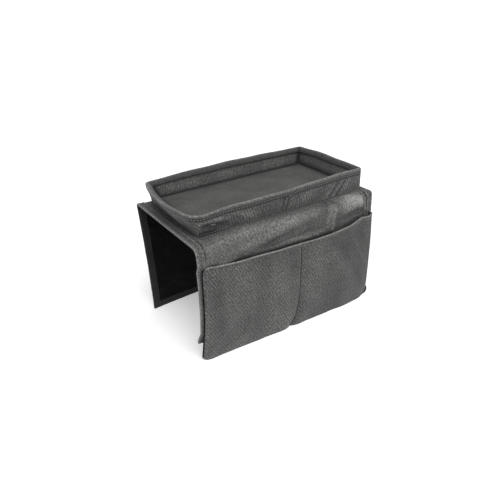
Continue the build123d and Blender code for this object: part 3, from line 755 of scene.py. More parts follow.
# Shader values as Python expressions
class Value:
    """An output socket that adds Math nodes when it is used in an expression."""

    def __init__(self, socket):
        self.socket = socket

    def with_math(self, operation, *others):
        """A Math node's result for these values and numbers."""
        tree = self.socket.id_data
        made = tree.nodes.new("ShaderNodeMath")
        made.operation = operation
        for slot, value in zip(made.inputs, others):
            if isinstance(value, Value):
                tree.links.new(value.socket, slot)
            else:
                slot.default_value = value
        return Value(made.outputs[0])

    def __add__(self, other):
        return self.with_math("ADD", self, other)

    __radd__ = __add__

    def __sub__(self, other):
        return self.with_math("SUBTRACT", self, other)

    def __rsub__(self, other):
        return self.with_math("SUBTRACT", other, self)

    def __mul__(self, other):
        return self.with_math("MULTIPLY", self, other)

    __rmul__ = __mul__

    def __truediv__(self, other):
        return self.with_math("DIVIDE", self, other)

    def __abs__(self):
        return self.with_math("ABSOLUTE", self)

    def output(self, name):
        return Value(self.socket.node.outputs[name])

    def between(self, low, high):
        return self.with_math("MINIMUM", self.with_math("MAXIMUM", self, low), high)


class Finish:
    """A material whose nodes are added one by one."""

    def __init__(self, name, owner=None):
        self.material = owner or bpy.data.materials.new(name)
        self.material.use_nodes = True
        self.tree = self.material.node_tree
        self.tree.nodes.clear()

    def node(self, kind, settings=None, inputs=None):
        made = self.tree.nodes.new(kind)
        for key, value in (settings or {}).items():
            if key == "stops":
                ramp = made.color_ramp.elements
                while len(ramp) < len(value):
                    ramp.new(0.5)
                for element, (place, colour) in zip(ramp, value):
                    element.position, element.color = place, colour
            else:
                setattr(made, key, value)
        for key, value in (inputs or {}).items():
            if isinstance(value, Value):
                self.tree.links.new(value.socket, made.inputs[key])
            else:
                made.inputs[key].default_value = value
        return Value(made.outputs[0]) if len(made.outputs) else None

    def math(self, operation, *values):
        return values[0].with_math(operation, *values)

    def mix(self, share, first, second):
        """Two colours mixed: sockets 6 and 7 of the Mix node are its colours."""
        made = self.node("ShaderNodeMix", {"data_type": "RGBA"}, {0: share, 6: first, 7: second})
        return Value(made.socket.node.outputs[2])

    def point(self, u, v, w=0.0):
        return self.node("ShaderNodeCombineXYZ", None, {0: u, 1: v, 2: w})

    def noise(self, place, scale, detail=2.0, **more):
        inputs = {"Vector": place, "Scale": scale, "Detail": detail, **more}
        return self.node("ShaderNodeTexNoise", {"noise_dimensions": "3D"}, inputs)

    def shade(self):
        """The painted shade and highlight that each point of the mesh carries."""
        return self.node("ShaderNodeAttribute", {"attribute_name": "shade"}).output("Fac")

    def to_camera(self):
        """1 for rays from the camera or past a mirror or glass, else 0."""
        rays = self.node("ShaderNodeLightPath")
        return (rays + rays.output("Is Glossy Ray") + rays.output("Is Transmission Ray")).between(0.0, 1.0)

    def finish(self, colour, roughness, height, bump, reach, **constants):
        relief = self.node("ShaderNodeBump", None, {"Strength": bump, "Distance": reach, "Height": height})
        inputs = {"Base Color": colour, "Roughness": roughness, "Normal": relief}
        for key, value in constants.items():
            inputs[key.replace("_", " ")] = value
        shader = self.node("ShaderNodeBsdfPrincipled", None, inputs)
        self.node("ShaderNodeOutputMaterial", None, {"Surface": shader})


def four(colour, factor=1.0):
    return tuple(c * factor for c in colour) + (1.0,)


def weave(f, pitch):
    """Height of a plain weave on the cloth map, the map's two numbers and a random share for each yarn."""
    u = f.node("ShaderNodeSeparateXYZ", None, {0: f.node("ShaderNodeUVMap", {"uv_map": "cloth"})})
    v = u.output("Y")
    a, b = u / pitch, v / pitch
    row, column = f.math("FLOOR", a), f.math("FLOOR", b)
    over = f.math("FLOORED_MODULO", row + column, 2.0)
    warp = abs(f.math("SINE", a * math.pi))
    weft = abs(f.math("SINE", b * math.pi))
    height = over * warp * (0.62 + 0.38 * weft) + (1.0 - over) * weft * (0.62 + 0.38 * warp)
    cell = f.point(row * over, column * (1.0 - over), over)
    yarn = f.node("ShaderNodeTexWhiteNoise", {"noise_dimensions": "3D"}, {"Vector": cell})
    return height, u, v, yarn


# Slanting lines of the weave: their distance in metres, their turn and the scale and depth of their waver
LINE_DISTANCE = 0.0040
LINE_TURN = 0.52
WAVER_SCALE = 130.0
WAVER = 9.0


def twill(f, u, v):
    """Uneven slanting lines that run through the weave."""
    waver = f.noise(f.point(u, v), WAVER_SCALE)
    across = u * math.cos(LINE_TURN) + v * math.sin(LINE_TURN)
    return f.math("SINE", across * (math.tau / LINE_DISTANCE) + waver * WAVER) * 0.5 + 0.5


def cloth_finish(name, colour, pitch, lines=0.22, light=1.0, roughness=0.62, bump=0.55):
    """Coarse woven polyester: yarns, slanting lines, cloudy shade and a soft sheen."""
    darkest, brightest, most_shade = 0.12, 4.4, 3.2
    f = Finish(name)
    height, u, v, yarn = weave(f, pitch)
    line = twill(f, u, v)
    place = f.point(u, v)
    cloud = f.noise(place, 34.0, 3.0)
    grain = f.noise(place, 310.0)
    speck = (0.5 + 2.6 * (grain - 0.5)).between(0.0, 1.0)
    haze = (0.5 + 2.0 * (cloud - 0.5)).between(0.0, 1.0)
    shade = (0.5 + 0.5 * height) * (0.8 + 0.4 * yarn) * (1.0 - lines + 2 * lines * line)
    # Weave, random cloud and specks, times the painted shade and highlights that each point carries
    shade = shade * (0.78 + 0.44 * haze) * (0.4 + 1.2 * speck) * f.shade()
    share = shade.between(0.0, most_shade) / most_shade
    # light scales the whole tone; for the facing it is painted light that makes its copy of the cloth
    # brighter
    tone = f.mix(share, four(colour, darkest * light), four(colour, brightest * light))
    rough = roughness + 0.16 * (1.0 - height) + 0.1 * (cloud - 0.5)
    relief = height * 0.7 + line * 0.5 + speck * 0.35
    f.finish(tone, rough, relief, bump, 0.0005,
             Sheen_Weight=0.12, Sheen_Roughness=0.45, Specular_IOR_Level=0.42)


def coated_finish(name, colour, pitch):
    """Black waterproof coating with a low sheen, small creases, lighter patches painted on the soft creases'
    crowns as their sheen, and the weave showing through.
    """
    f = Finish(name)
    height, u, v, _ = weave(f, pitch)
    place = f.point(u, v)
    soft = f.noise(place, 26.0, 4.0, Distortion=0.6)
    crease = f.node("ShaderNodeTexVoronoi", {"feature": "DISTANCE_TO_EDGE"}, {"Vector": place, "Scale": 38.0})
    sharp = 1.0 - (crease * 6.0).between(0.0, 1.0)
    dust = f.noise(place, 180.0, 3.0)
    # Lighter patches on the soft creases' crowns: a painted sheen
    painted_crease_sheen = (soft * 3.4 - 1.5).between(0.0, 1.0)
    tone = f.mix(painted_crease_sheen * painted_crease_sheen, four(colour, 0.12), four(colour, 2.6))
    rough = 0.42 + 0.3 * soft + 0.1 * dust
    relief = soft * 1.8 + height * 0.05 + sharp * 0.1
    f.finish(tone, rough, relief, 0.8, 0.006, Specular_IOR_Level=0.1)


def floor_finish(name, colour):
    """Fine smooth cloth with a cloudy shade."""
    fine_pitch, darkest, brightest, most_shade = 0.0006, 0.3, 1.9, 1.6
    f = Finish(name)
    height, u, v, yarn = weave(f, fine_pitch)
    place = f.point(u, v)
    cloud = f.noise(place, 22.0, 5.0, Roughness=0.62)
    speck = f.noise(place, 380.0)
    shade = (0.72 + 0.2 * height + 0.16 * yarn) * (1.0 + 2.6 * (cloud - 0.5)) * (1.0 + 2.2 * (speck - 0.5))
    # The painted shade that each point carries darkens the floor's edge, in the gap at the walls' foot
    share = (shade * f.shade()).between(0.0, most_shade) / most_shade
    tone = f.mix(share, four(colour, darkest), four(colour, brightest))
    rough = 0.74 + 0.14 * (cloud - 0.5)
    relief = height * 0.4 + speck * 0.7 + cloud * 0.8
    f.finish(tone, rough, relief, 0.35, 0.0004, Sheen_Weight=0.06, Specular_IOR_Level=0.35)


def thread_finish(name, colour):
    """Twisted thread, uneven along its length."""
    f = Finish(name)
    ply = f.noise(f.node("ShaderNodeTexCoord").output("Object"), 900.0)
    tone = f.mix(ply, four(colour, 0.6), four(colour, 1.35))
    f.finish(tone, 0.5 + 0.2 * ply, ply, 0.4, 0.0002, Specular_IOR_Level=0.5)


def board_finish(name):
    """Pressed fibre board."""
    f = Finish(name)
    fibre = f.noise(f.node("ShaderNodeTexCoord").output("Object"), 260.0, 4.0)
    tone = f.mix(fibre, (0.16, 0.16, 0.155, 1), (0.3, 0.3, 0.29, 1))
    f.finish(tone, 0.7 + 0.15 * fibre, fibre, 0.2, 0.0002)


def make_finishes():
    cloth = settings().cloth
    pitch = cloth.thread_pitch
    thread = settings().hems.thread_colour
    cloth_finish("outer weave", cloth.colour, pitch, lines=0.42)
    # The facing weave is the outer cloth made brighter by painted light; the hem weave's light makes it a
    # little brighter and the lining weave's a little darker
    cloth_finish("facing weave", cloth.colour, pitch, light=1.2, roughness=0.5)
    cloth_finish("hem weave", cloth.colour, pitch * 0.9, lines=0.2, light=1.05)
    cloth_finish("lining weave", cloth.colour, pitch * 0.85, lines=0.25, light=0.92, roughness=0.46)
    coated_finish("coated inside", cloth.coating, pitch)
    cloth_finish("coated hem", cloth.coating, pitch, lines=0.05, roughness=0.6, bump=0.3)
    floor_finish("tray floor cloth", cloth.floor_colour)
    thread_finish("sewing thread", thread)
    thread_finish("dark thread", tuple(c * 0.12 for c in thread))
    board_finish("stiffening board")


# How many grid points the sheets have
SADDLE_COLUMNS, SADDLE_ROWS = 67, 35
FLAP_COLUMNS, FLAP_ROWS, HEM_ROWS_BELOW = 100, 52, 60
RUN_ROWS, FOLD_ROWS = 4, 27
FACING_COLUMNS, FACING_SEEN_ROWS, FACING_HIDDEN_ROWS = 190, 76, 30
GUSSET_ROWS, DIVIDER_ROWS, DIVIDER_COLUMNS = 7, 8, 60

# The finishes of a cloth's outer and inner face
OUTER_FACES = ("outer weave", "coated inside")
FACING_FACES = ("facing weave", "coated inside")
GUSSET_FACES = ("hem weave", "coated inside")
DIVIDER_FACES = ("coated inside", "coated inside")
WALL_FACES = ("outer weave", "lining weave")

# Stitches, each a small spindle that dips into the cloth at both ends
STITCHES = {}
SPINDLE_SIDES = 5
SPINDLE_SHARES = (-0.26, 0.26)
SPINDLE_RISE = 0.45
SPINDLE_DIP = 0.4


def stitch(group, path, outward, length=None, gap=None, radius=None):
    """Adds a row of stitches along a path to a group; both are in millimetres."""
    hems = settings().hems
    length = length or hems.stitch_length / MM
    gap = gap or hems.stitch_gap / MM
    radius = radius or hems.thread_radius / MM
    path = np.asarray(path, float)
    outward = np.broadcast_to(np.asarray(outward, float), path.shape)
    way = np.concatenate([[0], np.cumsum(np.linalg.norm(np.diff(path, axis=0), axis=1))])
    count = int((way[-1] - gap) // (length + gap))
    if count < 1:
        raise RuntimeError(f"the row of stitches in {group} is shorter than one stitch")
    spare = way[-1] - count * (length + gap) + gap
    middles = spare / 2 + length / 2 + np.arange(count) * (length + gap)

    def at(values, places):
        return np.stack([np.interp(places, way, values[:, k]) for k in range(3)], -1)

    along = at(path, middles + length / 2) - at(path, middles - length / 2)
    along = along / np.linalg.norm(along, axis=1)[:, None]
    up = at(outward, middles)
    up = up - along * (up * along).sum(1)[:, None]
    up = up / np.linalg.norm(up, axis=1)[:, None]
    across = np.cross(along, up)
    turns = [math.tau * k / SPINDLE_SIDES for k in range(SPINDLE_SIDES)]
    points, faces = STITCHES.setdefault(group, ([], []))
    for c, d, n, b in zip(at(path, middles), along, up, across):
        near = len(points)
        first, second = near + 1, near + 1 + SPINDLE_SIDES
        far = second + SPINDLE_SIDES
        points.append(c - d * length * 0.5 - n * radius * SPINDLE_DIP)
        for share in SPINDLE_SHARES:
            for turn in turns:
                raised = n * radius * (SPINDLE_RISE + math.cos(turn))
                points.append(c + d * length * share + raised + b * radius * math.sin(turn))
        points.append(c + d * length * 0.5 - n * radius * SPINDLE_DIP)
        for k in range(SPINDLE_SIDES):
            m = (k + 1) % SPINDLE_SIDES
            faces.append((near, first + m, first + k))
            faces.append((first + k, first + m, second + m, second + k))
            faces.append((second + k, second + m, far))


# The camera that was fitted to the photograph, in metres and degrees
CAMERA_AZIMUTH, CAMERA_ELEVATION, CAMERA_ROLL = -32.43, 27.55, -1.56
CAMERA_TARGET = (-0.00597, 0.01079, -0.09643)
CAMERA_DISTANCE = 0.9136
CAMERA_SENSOR, CAMERA_LENS = 36.0, 38.844
FLOOR_SIZE = 60
FLOOR_GAP = 0.0006
KEY_PLACE, KEY_ANGLE = (-0.12, -0.5, 1.0), 38
FILL_PLACE, FILL_ANGLE = (0.8, -1.0, 0.55), 60
WHITE = (1, 1, 1, 1)


# Operators
class ARMTRAY_OT_stage(bpy.types.Operator):
    """Lay the studio floor, the lamps and the camera"""
    bl_idname = "arm_tray.stage"
    bl_label = "Stage"

    def execute(self, context):
        context.scene.view_settings.view_transform = "Standard"
        self.lay_floor(context)
        self.light_room(context)
        self.set_camera(context)
        return {"FINISHED"}

    def lay_floor(self, context):
        stage = settings().stage
        bpy.ops.object.select_all(action="DESELECT")
        bpy.ops.mesh.primitive_plane_add(size=FLOOR_SIZE, location=(0, 0, GROUND * MM - FLOOR_GAP))
        floor = context.active_object
        floor.name = "studio_floor"
        f = Finish("studio floor")
        haze = f.noise(f.node("ShaderNodeTexCoord").output("Object"), 3.0)
        tone = f.mix(haze, four(stage.floor_colour, 0.985), four(stage.floor_colour, 1.0))
        plain = f.node("ShaderNodeBsdfDiffuse", None, {"Color": tone})
        glow = f.node("ShaderNodeEmission", None, {"Color": WHITE, "Strength": stage.floor_glow})
        both = f.node("ShaderNodeAddShader", None, {0: plain, 1: glow})
        shown = f.node("ShaderNodeMixShader", None, {0: f.to_camera(), 1: plain, 2: both})
        f.node("ShaderNodeOutputMaterial", None, {"Surface": shown})
        floor.data.materials.append(f.material)

    def light_room(self, context):
        stage = settings().stage
        world = bpy.data.worlds.new("studio room")
        context.scene.world = world
        room = Finish("studio room", world)
        soft = room.node("ShaderNodeBackground", None, {"Color": WHITE, "Strength": stage.world_strength})
        white = room.node("ShaderNodeBackground", None, {"Color": WHITE, "Strength": 1.0})
        mixed = room.node("ShaderNodeMixShader", None, {0: room.to_camera(), 1: soft, 2: white})
        room.node("ShaderNodeOutputWorld", None, {"Surface": mixed})
        for name, spot, angle, strength in (("key light", KEY_PLACE, KEY_ANGLE, stage.key_strength),
                                            ("fill light", FILL_PLACE, FILL_ANGLE, stage.fill_strength)):
            bpy.ops.object.light_add(type="SUN", location=spot)
            lamp = context.active_object
            lamp.name = name
            lamp.data.energy = strength
            lamp.data.angle = math.radians(angle)
            lamp.rotation_euler = Vector(spot).to_track_quat("Z", "Y").to_euler()

    def set_camera(self, context):
        azimuth, elevation = math.radians(CAMERA_AZIMUTH), math.radians(CAMERA_ELEVATION)
        roll = math.radians(CAMERA_ROLL)
        level = math.cos(elevation)
        back = Vector((math.sin(azimuth) * level, -math.cos(azimuth) * level, math.sin(elevation)))
        right = Vector((math.cos(azimuth), math.sin(azimuth), 0))
        up = back.cross(right)
        side = right * math.cos(roll) + up * math.sin(roll)
        upward = up * math.cos(roll) - right * math.sin(roll)
        lens = bpy.data.cameras.new("photograph camera")
        lens.sensor_width = CAMERA_SENSOR
        lens.lens = CAMERA_LENS
        camera = bpy.data.objects.new("photograph camera", lens)
        context.collection.objects.link(camera)
        turn = Matrix((side, upward, back)).transposed().to_4x4()
        camera.matrix_world = Matrix.Translation(Vector(CAMERA_TARGET) + back * CAMERA_DISTANCE) @ turn
        context.scene.camera = camera


class ARMTRAY_OT_saddle(bpy.types.Operator):
    """Make the flat top of the saddle"""
    bl_idname = "arm_tray.saddle"
    bl_label = "Saddle Top"

    def execute(self, context):
        thick = settings().cloth.thickness / MM
        x = np.linspace(-HALF, HALF, SADDLE_COLUMNS)
        y = np.linspace(-EDGE + FOLD_RUN, EDGE - FOLD_RUN, SADDLE_ROWS)
        xs, ys = np.meshgrid(x, y)
        piece = cloth_piece("saddle_top_sheet", top_sheet(xs, ys), paired(xs, ys), False, thick, OUTER_FACES)
        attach(piece, ROOT)
        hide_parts("saddle_top")
        return {"FINISHED"}


def flap_steps(radius, length, below):
    """The ways s down a flap: close together round its fold, with a number of steps below it."""
    flat = np.linspace(0, FOLD_RUN, RUN_ROWS)
    fold = np.linspace(FOLD_RUN, FOLD_RUN + radius * math.pi / 2, FOLD_ROWS)
    return np.concatenate([flat[:-1], fold, np.linspace(fold[-1], length, below)[1:]])


class ARMTRAY_OT_flaps(bpy.types.Operator):
    """Make the front and the back flap, each with its fold over the arm's edge"""
    bl_idname = "arm_tray.flaps"
    bl_label = "Flaps"

    def execute(self, context):
        thick = settings().cloth.thickness / MM
        for side, word, sheet, length, radius, _ in FLAPS:
            x = np.linspace(-HALF, HALF, FLAP_COLUMNS)
            xs, ss = np.meshgrid(x, flap_steps(radius, length, FLAP_ROWS))
            flat = np.stack([xs, side * (EDGE - FOLD_RUN + ss)], -1)
            shade = self.front_shade(xs, ss) if side < 0 else None
            piece = cloth_piece(f"{word}_flap_sheet", sheet(xs, ss), flat, side < 0, thick,
                                OUTER_FACES, shade=shade)
            bend(piece, side)
            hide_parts("saddle_top", f"{word}_fold", f"{word}_flap")
            length * MM
        return {"FINISHED"}

    def front_shade(self, xs, ss):
        """Painted shadow in the gaps beside the facing's right edge and beside the bag's left edge."""
        right_from, right_to, right_below = (143, 4), (157, -3), (9, 4)
        left_from, left_below, right_dark, left_dark = (-150, -3), (50, 8), 0.85, 0.8
        right_gap = rise(xs, *right_from) * rise(xs, *right_to) * rise(ss, *right_below)
        left_gap = rise(xs, *left_from) * rise(ss, *left_below)
        return 1 - right_dark * right_gap - left_dark * left_gap


# A hem's section as pairs of the way in from the cloth's edge and the height off its face, the painted shade
# of each point, with painted highlights on its rolled edge, and the first point of its coated inner face
HEM_SECTION = (
    (11.5, 0.02), (11.3, 0.66), (10.6, 0.86), (8, 0.8), (5, 0.82), (2.4, 1.05), (0.8, 1.15), (-0.4, 0.7),
    (-0.8, -0.8), (-0.4, -2.2), (0.8, -2.6), (2.4, -2.5), (5, -2.35), (8, -2.35), (11, -2.35), (11.4, -1.62),
)
HEM_SHADES = (0.25, 0.9, 1.9, 1.1, 0.8, 0.85, 1.6, 2.6, 2.0, 1.2, 0.62, 0.55, 0.55, 0.62, 1.1, 0.3)
HEM_INSIDE = 8
HEM_TURN = -0.8

# A hem's puffs along its side and low edges and on the top, and the painted shade of the top's two ends
PUFF_STEP = 1.7
SIDE_PUFF, LOW_PUFF, TOP_PUFF = (0.22, 21, 60), (0.2, 23, 61), (0.18, 21, 63)
TOP_HEM_LIGHTS = ((-1, 1.0), (1, 0.5))
LOW_HEM_INSET, LOW_HEM_COLUMNS, TOP_HEM_ROWS = 0.3, 110, 60
LOW_HEM_SHARE = 0.82
TOP_SOFT_POINTS = 7


def hem_piece(name, place, way, flat, flip, puff, soft_points=15, off_share=1.0, light=1.0):
    """A hem along a way: place(inward, off) gives its points, and flat(across) its cloth map.

    The puff is the height, size and seed of its unevenness.
    """
    height, size, seed = puff
    rows = []
    for index, (inward, off) in enumerate(HEM_SECTION):
        soft = height * ripple(way, index * PUFF_STEP, size, seed) if 0 < index < soft_points else 0
        rows.append(place(inward, off * off_share + (soft if off > HEM_TURN else -soft)))
    grid = np.stack(rows, 1)
    # Painted shade at the hem's inner edges and painted highlights on its rolled edge, scaled by light
    shade = np.broadcast_to(HEM_SHADES, grid.shape[:2]) * light
    across = section_way(HEM_SECTION)[None, :]
    return loop_piece(name, grid, flat(across), "hem weave", flip=flip, inside=HEM_INSIDE, shade=shade)


class ARMTRAY_OT_hems(bpy.types.Operator):
    """Turn the hems round the saddle's ends and the flaps' lower edges"""
    bl_idname = "arm_tray.hems"
    bl_label = "Hems"

    def execute(self, context):
        self.top_hems()
        for side, word, sheet, length, radius, body in FLAPS:
            s = flap_steps(radius, length, HEM_ROWS_BELOW)
            for end, where in ((-1, "left"), (1, "right")):
                piece = hem_piece(
                    f"{word}_side_hem_{where}",
                    lambda inward, off: sheet(np.full_like(s, end * (HALF - inward)), s, off),
                    s, lambda across: paired(end * (HALF - across), (side * (EDGE - FOLD_RUN + s))[:, None]),
                    side * end > 0, SIDE_PUFF)
                bend(piece, side)
                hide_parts(f"{word}_fold_hems", f"{word}_hem_{where}")
            x = np.linspace(-HALF + LOW_HEM_INSET, HALF - LOW_HEM_INSET, LOW_HEM_COLUMNS)
            piece = hem_piece(
                f"{word}_lower_hem",
                lambda inward, off: sheet(x, np.full_like(x, length - inward), off),
                x, lambda across: paired(x[:, None], side * (EDGE - FOLD_RUN + length - across)),
                side < 0, LOW_PUFF, off_share=LOW_HEM_SHARE)
            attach(piece, body)
            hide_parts(f"{word}_hem_bottom")
        return {"FINISHED"}

    def top_hems(self):
        """The hems on the top's two ends; the far one is painted darker, as it lies in the wall's shade."""
        y = np.linspace(-EDGE + FOLD_RUN, EDGE - FOLD_RUN, TOP_HEM_ROWS)
        ends = []
        for end, light in TOP_HEM_LIGHTS:
            ends.append(hem_piece(
                "top_hem",
                lambda inward, off: top_sheet(np.full_like(y, end * (HALF - inward)), y, off),
                y, lambda across: paired(end * (HALF - across), y[:, None]),
                end > 0, TOP_PUFF, soft_points=TOP_SOFT_POINTS, light=light))
        top = joined("top_side_hem_pair", ends)
        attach(top, ROOT)
        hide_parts("top_side_hems")


FACING_HEM_SECTION = (
    (5, 0.05), (4.8, 0.55), (2.5, 0.7), (0.6, 0.75), (-0.4, 0.3), (-0.6, -0.6), (0.0, -1.5), (0.8, -1.3),
)
FACING_HEM_WAYS = (0.5, 78)
FACING_HEM_ROWS = 60
FACING_HEM_FLAT = 150
FACING_FLAT_WIDTH = 0.322
FACING_SEEN = 75
FACING_SHORTER = 1.2
CREASE_HOLLOW = ((75, 3), (60, 40), 3, 0.4)

# Shade of the facing inside the bag, with more light at the right, and soft shadows over the mouth: height
# over it and reach, x and reach, and depth
HIDDEN_SHADE, HIDDEN_GLOW = 0.08, 0.5
FACING_SHADOWS = ((12.5, 5.5, 18, 62, 0.68), (6, 4, -95, 26, 0.45))


def facing_shade(xs, ss, above):
    """Painted shade of the facing, above the mouth by so much: dark folds and lines, and a painted highlight
    on the bright right end.
    """
    glow_from, glow_to, mouth_edge, crease_light = (60, 40), (147, -6), (-2.5, 3.5), 0.3
    bright, bright_x, bright_above, brow, brow_above = 0.6, (92, 20), (8, 8), 0.2, (24, 11)
    lip, lip_above, lip_from, lip_to = 0.7, (4, 3.5), (-110, 30), (70, -30)
    pit, pit_x, pit_s, foot_dark, foot_s = 0.75, (79.5, 4.5), (7.5, 4.5), 0.82, (3.2, 1.9)
    least = HIDDEN_SHADE + HIDDEN_GLOW * rise(xs, *glow_from) * rise(xs, *glow_to)
    shade = least + (1 - least) * rise(above, *mouth_edge)
    for high, tall, x, wide, depth in FACING_SHADOWS:
        shade = shade - depth * hill(above, high, tall) * hill(xs, x, wide)
    fold = facing_folds(xs, ss) / (settings().folds.facing_depth / MM + 0.001)
    creases = crease_light * ridges(xs, ss, FACING_CREASES)
    shade = shade * np.clip(1 + creases + crease_light * fold, 0.3, 1.9)
    shade = shade * (1 + brow * hill(above, *brow_above))
    shade = shade * (1 + bright * rise(xs, *bright_x) * rise(above, *bright_above))
    shade = shade + lip * hill(above, *lip_above) * rise(xs, *lip_from) * rise(xs, *lip_to)
    hollow = pit * hill(xs, *pit_x) * hill(ss, *pit_s) + ridge(xs, ss, *CREASE_HOLLOW)
    under_wall = foot_dark * hill(ss, *foot_s)
    return shade * (1 - hollow) * (1 - under_wall)


class ARMTRAY_OT_facing(bpy.types.Operator):
    """Hang the loose facing from the tray's foot down behind the pocket"""
    bl_idname = "arm_tray.facing"
    bl_label = "Facing"

    def execute(self, context):
        thick = settings().cloth.bag_thickness / MM
        seen = np.linspace(0, FACING_SEEN, FACING_SEEN_ROWS)
        hidden = np.linspace(FACING_SEEN, FACING_LENGTH - FACING_SHORTER, FACING_HIDDEN_ROWS)
        us, ss = np.meshgrid(np.linspace(0, 1, FACING_COLUMNS), np.concatenate([seen, hidden[1:]]))
        left, right = facing_edge(ss, -1), facing_edge(ss, 1)
        xs = left + (right - left) * us
        grid = facing_sheet(xs, ss)
        flat = np.stack([xs, -(EDGE - FACING_RUN + ss)], -1)
        shade = facing_shade(xs, ss, grid[..., 2] - mouth_height(xs))
        piece = cloth_piece("facing_sheet", grid, flat, True, thick, FACING_FACES, shade=shade)
        bend(piece, -1)
        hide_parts("facing_top", "facing_fold", "facing_front")
        size = (FACING_FLAT_WIDTH, FACING_LENGTH * MM)
        for end, where in ((-1, "left"), (1, "right")):
            s = np.linspace(*FACING_HEM_WAYS, FACING_HEM_ROWS)
            rows = [facing_sheet(facing_edge(s, end) - end * inward, s, off)
                    for inward, off in FACING_HEM_SECTION]
            across = np.arange(len(rows))[None, :]
            flat = paired(end * (FACING_HEM_FLAT - across), -(EDGE - FACING_RUN + s)[:, None])
            hem = loop_piece(f"facing_edge_{where}", np.stack(rows, 1), flat, "facing weave", flip=(end < 0))
            bend(hem, -1)
        return {"FINISHED"}


# Columns of the pocket's front on each side of its seam, and how much closer together they are beside it.
# Its rows are close together above the first share of its depth and below the second.
PANEL_COLUMNS = 84
PANEL_CROWDING = 1.25
PANEL_ROW_SHARES = (0.1, 0.86)
PANEL_MOUTH_ROWS, PANEL_ROWS, PANEL_FOOT_ROWS = 8, 60, 14
SEAM_HALF = 0.5
SEAM_PINCH, SEAM_PINCH_LOW = 1.6, 5.0
PANEL_FOOT = 0.3


def panel_grid():
    """Rows of points down the pocket's front, with a column in the groove of the divider's seam."""
    first, second = PANEL_ROW_SHARES
    near_foot = 1 - (1 - second) * np.cos(np.linspace(0, math.pi / 2, PANEL_FOOT_ROWS))
    t = np.concatenate([np.linspace(0, first, PANEL_MOUTH_ROWS)[:-1],
                        np.linspace(first, second, PANEL_ROWS)[:-1], near_foot])
    t[-1] = 1
    left_share = 1 - (1 - np.linspace(0, 1, PANEL_COLUMNS)) ** PANEL_CROWDING
    right_share = np.linspace(0, 1, PANEL_COLUMNS) ** PANEL_CROWDING
    rows, flats = [], []
    for share in t:
        z_guess = MOUTH + (GROUND - MOUTH) * share
        seam = divider_x(z_guess)
        left, right = panel_edge(z_guess, -1), panel_edge(z_guess, 1)
        x = np.concatenate([left + (seam - SEAM_HALF - left) * left_share,
                            seam + SEAM_HALF + (right - seam - SEAM_HALF) * right_share])
        top = mouth_height(x)
        z = top + (GROUND + PANEL_FOOT - top) * share
        rows.append(panel_sheet(x, z))
        flats.append(np.stack([x, z], -1))
    grid, flat = np.array(rows), np.array(flats)
    beside = slice(PANEL_COLUMNS - 1, PANEL_COLUMNS + 1)
    inner = grid[:, beside].mean(axis=1, keepdims=True)
    from_mouth = np.clip((t - 0.02) * 12, 0, 1)[:, None]
    inner[:, :, 1] += from_mouth * (SEAM_PINCH + SEAM_PINCH_LOW * t[:, None] ** 3)
    flat_inner = flat[:, beside].mean(axis=1, keepdims=True)
    grid = np.concatenate([grid[:, :PANEL_COLUMNS], inner, grid[:, PANEL_COLUMNS:]], 1)
    flat = np.concatenate([flat[:, :PANEL_COLUMNS], flat_inner, flat[:, PANEL_COLUMNS:]], 1)
    return grid, flat


def panel_shade(x, z):
    """Shade of the pocket's front: painted shade in the seam's groove, a darker right part and painted
    highlights on its folded edges.
    """
    seam_dark, seam_widths, cloud, stretched = 0.8, (0.9, 1.4), (0.14, 70, 33), 0.6
    right_dark, right_x, left_light, left_reach = 0.36, (30, 60), 0.28, (0, -60)
    folds_light, folds_from_seam, edge_light, edge_in, edge_wide = 0.25, 14, 0.7, 0.7, 1.2
    off = x - divider_x(z)
    down = bag_share(z)
    seam = np.exp(-np.abs(off) / at_foot(seam_widths, down))
    shade = 1 - seam_dark * seam + ripples(x, z * stretched, cloud)
    shade = shade + folds_light * panel_folds(x, z).clip(-1, 1) * smooth(np.abs(off) / folds_from_seam)
    shade = shade * (1 - right_dark * rise(x, *right_x))
    shade = shade * (1 + left_light * rise(off, *left_reach) * smooth(down * 2 - 1))
    left_edge = hill(x, panel_edge(z, -1) + edge_in, edge_wide)
    right_edge = hill(x, panel_edge(z, 1) - edge_in, edge_wide) * smooth(down * 4 - 3)
    return shade + edge_light * left_edge + edge_light * right_edge


MOUTH_HEM_SECTION = (
    (5.6, 0.02), (5.4, 0.5), (4.5, 0.62), (2.4, 0.6), (0.9, 0.8), (0.1, 0.7), (-0.45, 0.1), (-0.5, -0.7),
    (0.0, -1.6), (1.2, -1.9), (5.4, -1.8), (5.6, -1.2),
)
# Painted highlight along the hem's rolled top edge, and painted shade on its inner side
MOUTH_HEM_SHADES = (0.9, 0.9, 0.85, 0.75, 1.1, 3.2, 3.6, 1.0, 0.15, 0.1, 0.1, 0.1)
MOUTH_HEM_INSETS = (1.5, 0.2)
MOUTH_HEM_COLUMNS = 180
MOUTH_HEM_STEP = 1.1


